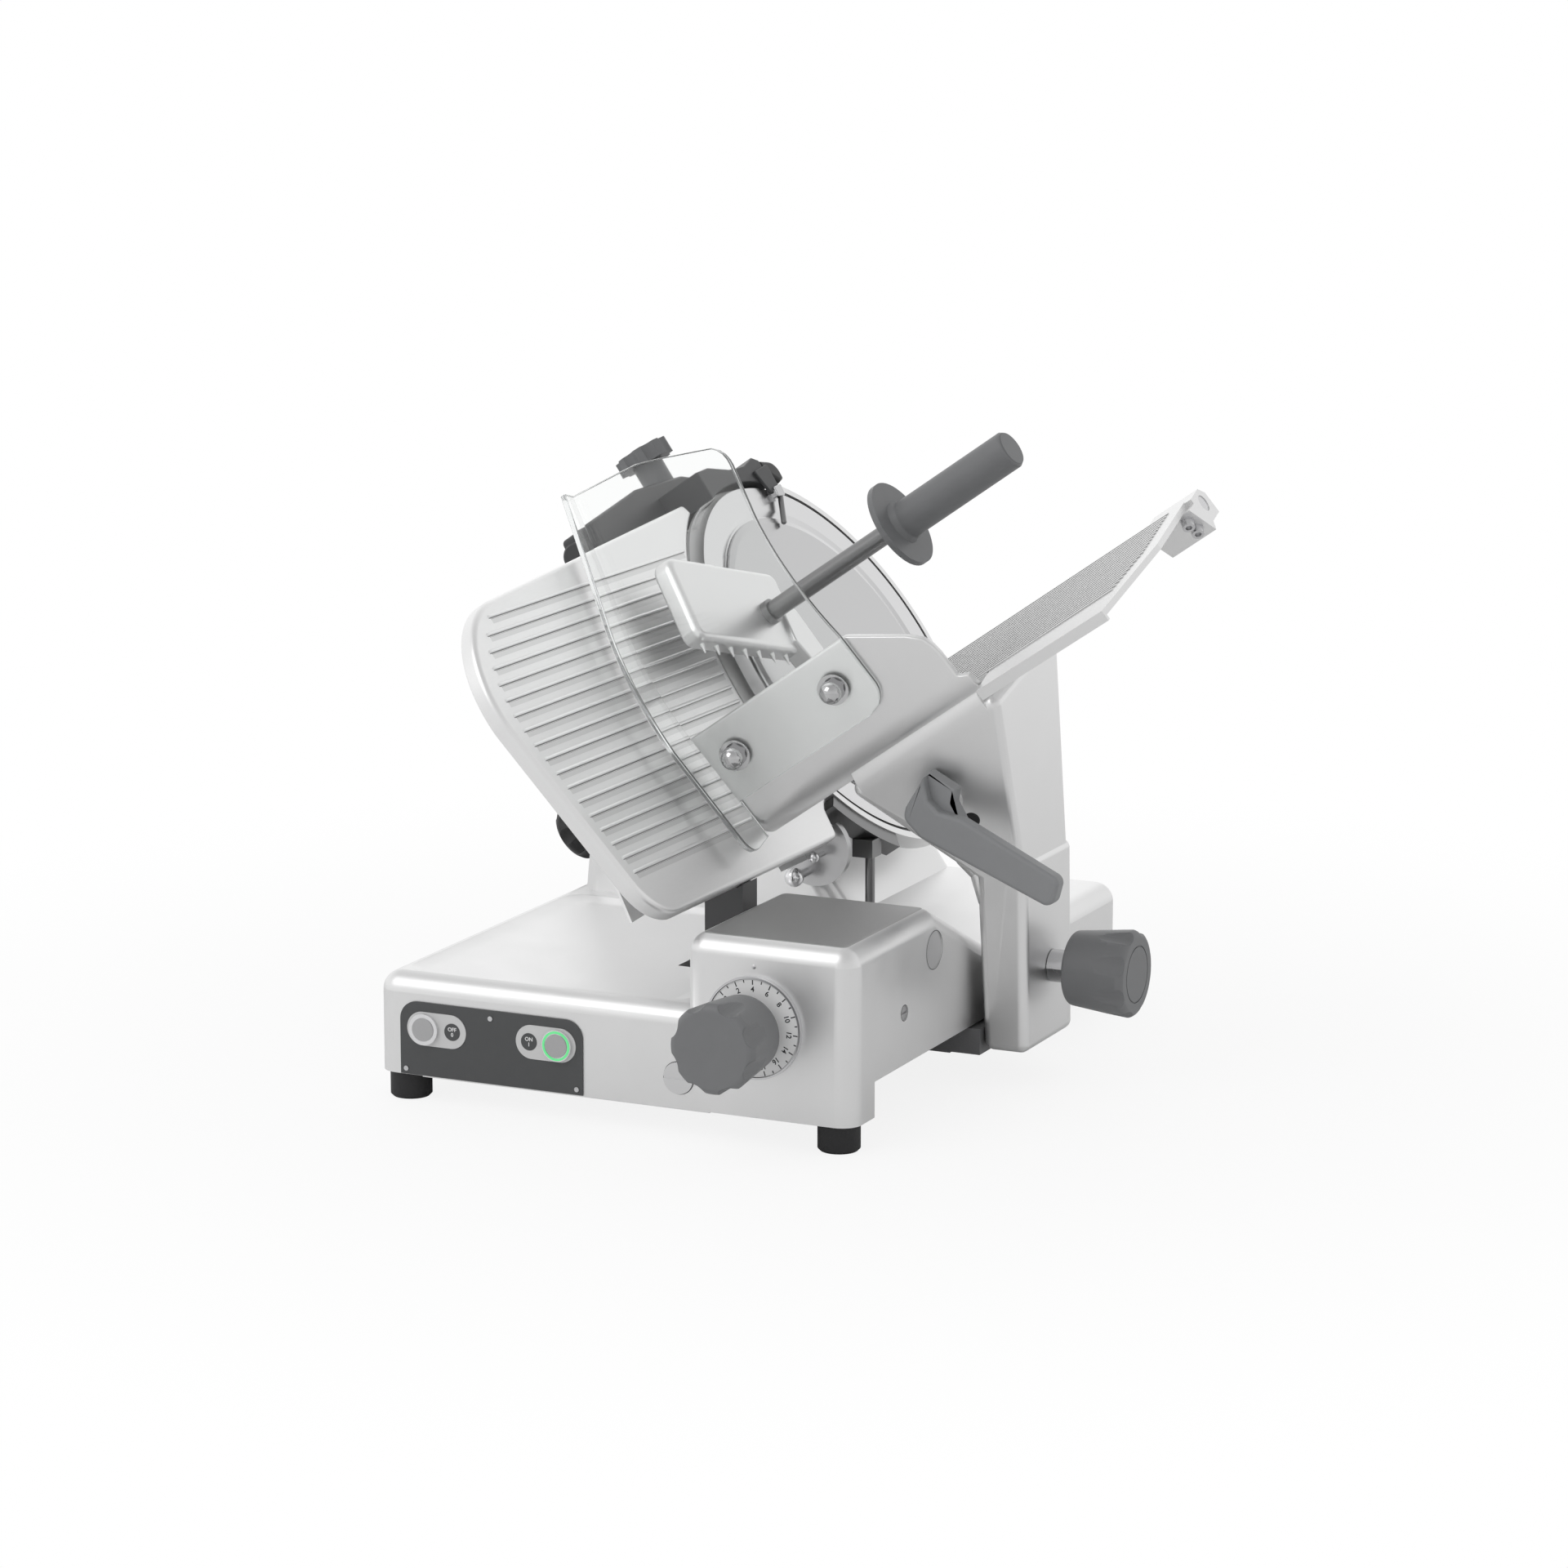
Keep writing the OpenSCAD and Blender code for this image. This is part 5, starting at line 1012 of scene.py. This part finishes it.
class SLICER_OT_handle(bpy.types.Operator):
    """Carriage handle: slanted bar with a soft front rim and the tab behind it"""

    bl_idname = "slicer.handle"
    bl_label = "Carriage handle"

    def execute(self, context):
        r = context.scene.slicer_sizes.handle_round / MM
        bar = np.concatenate([[[-27, 237], [-42, 212]], arc(-34, 206, 9, 170, 230, 5), [[-29, 189]],
                              arc(76, 154, 8, -108, -15, 8), arc(79, 163, 7.5, -15, 62, 7)[1:],
                              [[6, 207], [-14, 211], [-23, 219], [-26, 230]]])
        tab = [[-27, 237], [-42, 212], [-14, 200], [4, 200], [-6, 217], [-4, 228], [-27, 240]]
        parts = [rounded_slab(bar, BAR_BACK, BAR_FRONT, 1.5, r),
                 rounded_slab(rounded_outline(tab, 2), 0, TAB_T, 0.6, 2)]
        x, y, z = HANDLE_PLACE
        handle = moved(joined(parts), lambda p: on_front(p + [x, z, -y]))
        # The handle's lighter grey is painted light.
        make_piece("carriage_handle_skin", handle, "carriage", ["handle_plastic"],
                   ["carriage_handle"])
        return {"FINISHED"}


SHARP_LOW, SHARP_TOP, SHARP_LEFT, SHARP_RIGHT = 152.0, 203.0, -187.0, 61.0
SHARP_BACK, SHARP_FRONT, HOOD_FRONT, HOOD_R = -74.0, -41.0, 2.5, 170.5
STUB_R, STUB_LEN, POST_R, POST_LOW, POST_TOP = 12.0, 30.0, 9.0, 29.0, 156.0
PIN_R, PIN_LEN = 2.4, 33.0
PIN_FROM, PIN_TO = np.array([56.0, 148.0]), np.array([33.5, 123.2])


class SLICER_OT_sharpener(bpy.types.Operator):
    """Sharpener body with its hood over the blade's edge, and the black cap with its finger"""

    bl_idname = "slicer.sharpener"
    bl_label = "Sharpener"

    def execute(self, context):
        low_right = SHARP_TOP - 28
        body = [[SHARP_LEFT, SHARP_LOW], [SHARP_LEFT + 9, SHARP_TOP - 15], [-74, SHARP_TOP], [10, SHARP_TOP],
                [SHARP_RIGHT, SHARP_TOP - 12], [SHARP_RIGHT, low_right], [-20, low_right], [-34, SHARP_LOW]]
        hood = np.concatenate([[[-50, 163], [-50, 189], [-28, 190], [6, 183], [32, 183], [52, 188], [61, 184],
                                [61, 173]], arc(0, 0, HOOD_R, 69.9, 107, 14)])
        stub = turned([(0, 0), (STUB_R - 1.5, 0), (STUB_R, 1.5), (STUB_R, STUB_LEN), (0, STUB_LEN)])
        post = turned([(0, POST_LOW), (POST_R, POST_LOW), (POST_R, POST_TOP), (0, POST_TOP)])
        parts = [rounded_slab(rounded_outline(body, [4, 5, 6, 6, 5, 3, 3, 3]), SHARP_BACK, SHARP_FRONT, 3, 3),
                 rounded_slab(hood, SHARP_FRONT - 3, HOOD_FRONT, 0.5, 1.4),
                 moved(stub, lambda p: np.column_stack([SHARP_LEFT - 13 + p[:, 2], SHARP_LOW + 16 + p[:, 0],
                                                        p[:, 1] + (SHARP_BACK + SHARP_FRONT) / 2])),
                 moved(post, lambda p: np.column_stack([-64 + p[:, 0], p[:, 2], -62 - p[:, 1]]))]
        make_piece("sharpener_body_skin", moved(joined(outward(parts)), in_blade), "base",
                   ["dark_plastic"], ["sharpener_body"])
        cap = np.concatenate([[[61, 173], [61, 184]], arc(75, 169, 12, 80, 0, 8), [[86, 162], [78, 160]]])
        plate = [[38, 175], [66, 178], [63, 154], [45, 152]]
        block = [[48, 156], [62, 157], [59, 146], [46, 147]]
        along = (PIN_TO - PIN_FROM) / np.linalg.norm(PIN_TO - PIN_FROM)
        across = [along[1], -along[0]]
        pin = turned([(0, 0), (PIN_R, 0), (PIN_R, PIN_LEN - 1), (PIN_R - 0.8, PIN_LEN), (0, PIN_LEN)], 20)
        pin = moved(pin, lambda p: np.column_stack([PIN_FROM + p[:, 2:] * along + p[:, :1] * across,
                                                    HOOD_FRONT + PIN_R + 0.3 + p[:, 1]]))
        parts = [rounded_slab(cap, -8, HOOD_FRONT, 1.5, 3.5),
                 rounded_slab(rounded_outline(plate, 2), HOOD_FRONT - 0.02, HOOD_FRONT + 2.6, 0.2, 1),
                 rounded_slab(rounded_outline(block, 1.5), HOOD_FRONT - 0.02, HOOD_FRONT + 6, 0.2, 1), pin]
        indices = sum(([k] * len(part[1]) for k, part in enumerate(parts)), [])
        make_piece("sharpener_cap_skin", moved(joined(outward(parts)), in_blade), "base",
                   ["black_plastic", "dark_plastic", "nut_chrome", "rod_steel"], ["sharpener_cap"], indices)
        return {"FINISHED"}


UNIT_TURN, DIAL_READING, DIAL_LAST, DIAL_FACE = 11.7, 4.0, 18, 3.06
TICK, TICK_OUT, TICK_LONG, TICK_SHORT, DIGIT_R = 0.9, 37.6, 33.8, 35.4, 30.2
DOT_X, DOT_Z, DOT_R = 327.6, 118.0, 1.7


class SLICER_OT_dial_scale(bpy.types.Operator):
    """Digits and ticks of the thickness scale, and the index dot above it"""

    bl_idname = "slicer.dial_scale"
    bl_label = "Thickness scale"

    def execute(self, context):
        size = context.scene.slicer_sizes.digit / MM
        parts = []
        for unit in range(DIAL_LAST + 1):
            angle = math.radians(90 - (unit - DIAL_READING) * UNIT_TURN)
            out = np.array([math.cos(angle), math.sin(angle)])
            across = np.array([math.sin(angle), -math.cos(angle)])
            inner, outer = (TICK_SHORT if unit % 2 else TICK_LONG) * out, TICK_OUT * out
            half = TICK / 2 * across
            tick = np.array([inner - half, inner + half, outer + half, outer - half])
            parts.append((at_height(tick, 0), [[0, 1, 2, 3]]))
            if unit % 2 == 0:
                points, faces = flat_text(str(unit), size)
                flat = points[:, :1] * across + (DIGIT_R + points[:, 1:2]) * out
                parts.append((at_height(flat, 0), faces))
        marks = moved(joined(parts), lambda p: on_front(p + [DIAL_X, DIAL_Z, DIAL_FACE]))
        make_piece("dial_marks", marks, "thickness_dial", ["print_dark"], closed=False)
        dot = turned([(0, -0.2), (DOT_R, -0.2), (DOT_R, 0.3), (DOT_R - 0.5, 0.6), (0, 0.6)], 24)
        make_piece("index_dot", moved(dot, lambda p: on_front(p + [DOT_X, DOT_Z, 0])), "base",
                   ["bright_steel"])
        return {"FINISHED"}


LABEL_R, LABEL_BACK, LABEL_FRONT, LABEL_TEXT = 6.9, 1.7, 2.0, 4.3
LABEL_FIRST, LABEL_STEP = 2.0, 4.2
LABELS = (("off", 68.5, ("OFF", "0")), ("on", 136.0, ("ON", "I")))


class SLICER_OT_switch_labels(bpy.types.Operator):
    """Dark discs beside the push buttons with their words"""

    bl_idname = "slicer.switch_labels"
    bl_label = "Switch labels"

    def execute(self, context):
        disc = turned([(0, LABEL_BACK), (LABEL_R, LABEL_BACK), (LABEL_R, LABEL_FRONT), (0, LABEL_FRONT)], 48)
        for name, x, words in LABELS:
            make_piece(name + "_label", moved(disc, lambda p: on_front(p + [x, BUTTON_Z, 0])), "base",
                       ["panel_foil"])
            rows = []
            for row, word in enumerate(words):
                spot = [x, BUTTON_Z + LABEL_FIRST - LABEL_STEP * row, LABEL_FRONT + PRINT_LIFT]
                rows.append(moved(flat_text(word, LABEL_TEXT), lambda p: on_front(p + spot)))
            make_piece(name + "_words", joined(rows), "base", ["print_white"], closed=False)
        return {"FINISHED"}


AZIMUTH, ELEVATION = math.radians(25.2), math.radians(12.0)
PX_PER_MM, PHOTO_MIDDLE, CORNER_PX, DISTANCE_PX = 1.56, 960, (462, 1310), 6370
VIEW_X, VIEW_Y = (CORNER_PX[0] - PHOTO_MIDDLE) / PX_PER_MM, (PHOTO_MIDDLE - CORNER_PX[1]) / PX_PER_MM
VIEW_DISTANCE = DISTANCE_PX / PX_PER_MM
SENSOR, VIEW_END = 36.0, 50.0
LIGHTS = (("key", (-1.2, -2.2, 2.6), 2.2), ("rear", (-0.9, 2.6, 1.5), 2.0))
LIT_SPOT = Vector((0, 0, 0.2))
SURROUND_BACK, SURROUND_RIGHT, SURROUND_TOP, OVERHEAD = 0.12, -0.12, -0.50, 0.3
FLOOR_WHITE, FLOOR_REACH = 0.86, 9
SHADOW_NEAR, SHADOW_FAR = 0.30, 1.1
FLOOR_NEAR, FLOOR_FAR = 0.8, 2.5


class SLICER_OT_stage(bpy.types.Operator):
    """White surround, floor, large soft lights and the camera of the photograph"""

    bl_idname = "slicer.stage"
    bl_label = "Stage"

    def execute(self, context):
        scene = context.scene
        p = scene.slicer_stage
        scene.view_settings.view_transform = "Standard"
        self.make_world(scene, p)
        self.make_floor(scene)
        for name, place, size in LIGHTS:
            data = bpy.data.lights.new(name, "AREA")
            data.size = size
            data.energy = getattr(p, name)
            light = bpy.data.objects.new(name, data)
            light.location = place
            light.rotation_euler = (LIT_SPOT - Vector(place)).to_track_quat("-Z", "Y").to_euler()
            light.visible_camera = False
            scene.collection.objects.link(light)
        self.make_camera(scene, p.lens)
        return {"FINISHED"}

    def make_camera(self, scene, lens):
        """A camera turned by the photograph's two angles, at its distance from the base's front left corner."""
        right = np.array([math.cos(AZIMUTH), math.sin(AZIMUTH), 0])
        ahead = np.array([-math.sin(AZIMUTH) * math.cos(ELEVATION), math.cos(AZIMUTH) * math.cos(ELEVATION),
                          -math.sin(ELEVATION)])
        up = np.cross(right, ahead)
        spot = in_base(-(right * VIEW_X + up * VIEW_Y + ahead * VIEW_DISTANCE))
        data = bpy.data.cameras.new("camera")
        data.lens = lens
        data.sensor_width = SENSOR
        data.clip_end = VIEW_END
        camera = bpy.data.objects.new("camera", data)
        turn = Matrix((right, up, -ahead)).transposed().to_4x4()
        camera.matrix_world = Matrix.Translation(spot) @ turn
        scene.collection.objects.link(camera)
        scene.camera = camera

    def make_world(self, scene, p):
        """A white surround: brightest behind the slicer, dimmer in front, on the right and overhead.

        Camera and transmission rays see plain white. Glossy rays see it a little brighter than diffuse ones.
        """
        world = bpy.data.worlds.new("surround")
        world.use_nodes = True
        scene.world = world
        tree = world.node_tree
        back = tree.nodes["Background"]
        where = tree.nodes.new("ShaderNodeTexCoord")
        split = tree.nodes.new("ShaderNodeSeparateXYZ")
        tree.links.new(where.outputs["Generated"], split.inputs[0])
        level = calc(tree, "ADD", calc(tree, "MULTIPLY", split.outputs[1], SURROUND_BACK), 1.0)
        level = calc(tree, "ADD", calc(tree, "MULTIPLY", split.outputs[0], SURROUND_RIGHT), level)
        above = calc(tree, "MAXIMUM", calc(tree, "SUBTRACT", split.outputs[2], OVERHEAD), 0.0)
        level = calc(tree, "ADD", calc(tree, "MULTIPLY", above, SURROUND_TOP), level)
        path = tree.nodes.new("ShaderNodeLightPath")
        gloss = calc(tree, "MULTIPLY", path.outputs["Is Glossy Ray"], p.gloss - p.world)
        gloss = calc(tree, "ADD", gloss, p.world)
        level = calc(tree, "MULTIPLY", level, gloss)
        mix = tree.nodes.new("ShaderNodeMix")
        mix.data_type = "RGBA"
        seen = calc(tree, "MAXIMUM", path.outputs["Is Camera Ray"], path.outputs["Is Transmission Ray"])
        tree.links.new(seen, mix.inputs[0])
        tree.links.new(level, mix.inputs[6])
        mix.inputs[7].default_value = (1, 1, 1, 1)
        tree.links.new(mix.outputs[2], back.inputs["Color"])
        back.inputs["Strength"].default_value = 1.0

    def make_floor(self, scene):
        """A white floor that keeps the soft shadow under the feet and fades into the white surround."""
        mesh = bpy.data.meshes.new("floor")
        far = FLOOR_REACH
        mesh.from_pydata([(-far, -far, 0), (far, -far, 0), (far, far, 0), (-far, far, 0)], [], [(0, 1, 2, 3)])
        mat = make_finish("white_floor", (0.90, 0.90, 0.90), 0.0, 0.7, scale=40, tone=0.01, bump=0)
        tree = mat.node_tree
        shader = tree.nodes["Principled BSDF"]
        glow = tree.nodes.new("ShaderNodeEmission")
        glow.inputs["Color"].default_value = (1, 1, 1, 1)
        where = tree.nodes.new("ShaderNodeTexCoord")
        run = tree.nodes.new("ShaderNodeVectorMath")
        run.operation = "LENGTH"
        tree.links.new(where.outputs["Object"], run.inputs[0])
        split = tree.nodes.new("ShaderNodeSeparateXYZ")
        tree.links.new(where.outputs["Object"], split.inputs[0])

        def ramp(value, start, end, low):
            """A smooth rise from low to 1 between two values."""
            span = tree.nodes.new("ShaderNodeMapRange")
            span.interpolation_type = "SMOOTHSTEP"
            for socket, number in (("From Min", start), ("From Max", end), ("To Min", low), ("To Max", 1.0)):
                span.inputs[socket].default_value = number
            tree.links.new(value, span.inputs["Value"])
            return span.outputs[0]

        path = tree.nodes.new("ShaderNodeLightPath")
        seen = calc(tree, "MAXIMUM", path.outputs["Is Camera Ray"], path.outputs["Is Transmission Ray"])
        plain = calc(tree, "MULTIPLY", seen, ramp(run.outputs["Value"], SHADOW_NEAR, SHADOW_FAR, FLOOR_WHITE))
        behind = ramp(split.outputs[1], FLOOR_NEAR, FLOOR_FAR, 0.0)
        gloss = calc(tree, "MULTIPLY", path.outputs["Is Glossy Ray"], behind)
        both = tree.nodes.new("ShaderNodeMixShader")
        tree.links.new(calc(tree, "MAXIMUM", plain, gloss), both.inputs[0])
        tree.links.new(shader.outputs[0], both.inputs[1])
        tree.links.new(glow.outputs[0], both.inputs[2])
        tree.links.new(both.outputs[0], tree.nodes["Material Output"].inputs["Surface"])
        mesh.materials.append(mat)
        floor = bpy.data.objects.new("floor", mesh)
        scene.collection.objects.link(floor)


OPERATORS = (
    SLICER_OT_finishes, SLICER_OT_castings, SLICER_OT_gauge_plate, SLICER_OT_food_tray, SLICER_OT_hand_guard,
    SLICER_OT_ring_liner, SLICER_OT_arm_bead, SLICER_OT_plug_seams, SLICER_OT_pusher, SLICER_OT_handle,
    SLICER_OT_sharpener, SLICER_OT_dial_scale, SLICER_OT_switch_labels, SLICER_OT_stage)
GROUPS = (("slicer_sizes", SlicerSizes), ("slicer_colours", SlicerColours), ("slicer_stage", SlicerStage))


class SLICER_PT_panel(bpy.types.Panel):
    """Lists the pieces of the slicer and its settings."""

    bl_label = "Food slicer"
    bl_space_type = "VIEW_3D"
    bl_region_type = "UI"
    bl_category = "Slicer"

    def draw(self, context):
        for operator in OPERATORS:
            self.layout.operator(operator.bl_idname)
        for name, group in GROUPS:
            box = self.layout.box()
            for prop in group.__annotations__:
                box.prop(getattr(context.scene, name), prop)


def register():
    """Registers the settings, the operators and the panel."""
    for name, group in GROUPS:
        bpy.utils.register_class(group)
        setattr(bpy.types.Scene, name, PointerProperty(type=group))
    for operator in OPERATORS:
        bpy.utils.register_class(operator)
    bpy.utils.register_class(SLICER_PT_panel)


def unregister():
    """Takes them out again in reverse order."""
    bpy.utils.unregister_class(SLICER_PT_panel)
    for operator in reversed(OPERATORS):
        bpy.utils.unregister_class(operator)
    for name, group in reversed(GROUPS):
        delattr(bpy.types.Scene, name)
        bpy.utils.unregister_class(group)


def main():
    """Builds everything in order."""
    register()
    for operator in OPERATORS:
        getattr(bpy.ops.slicer, operator.bl_idname.split(".")[1])()


if __name__ == "__main__":
    main()
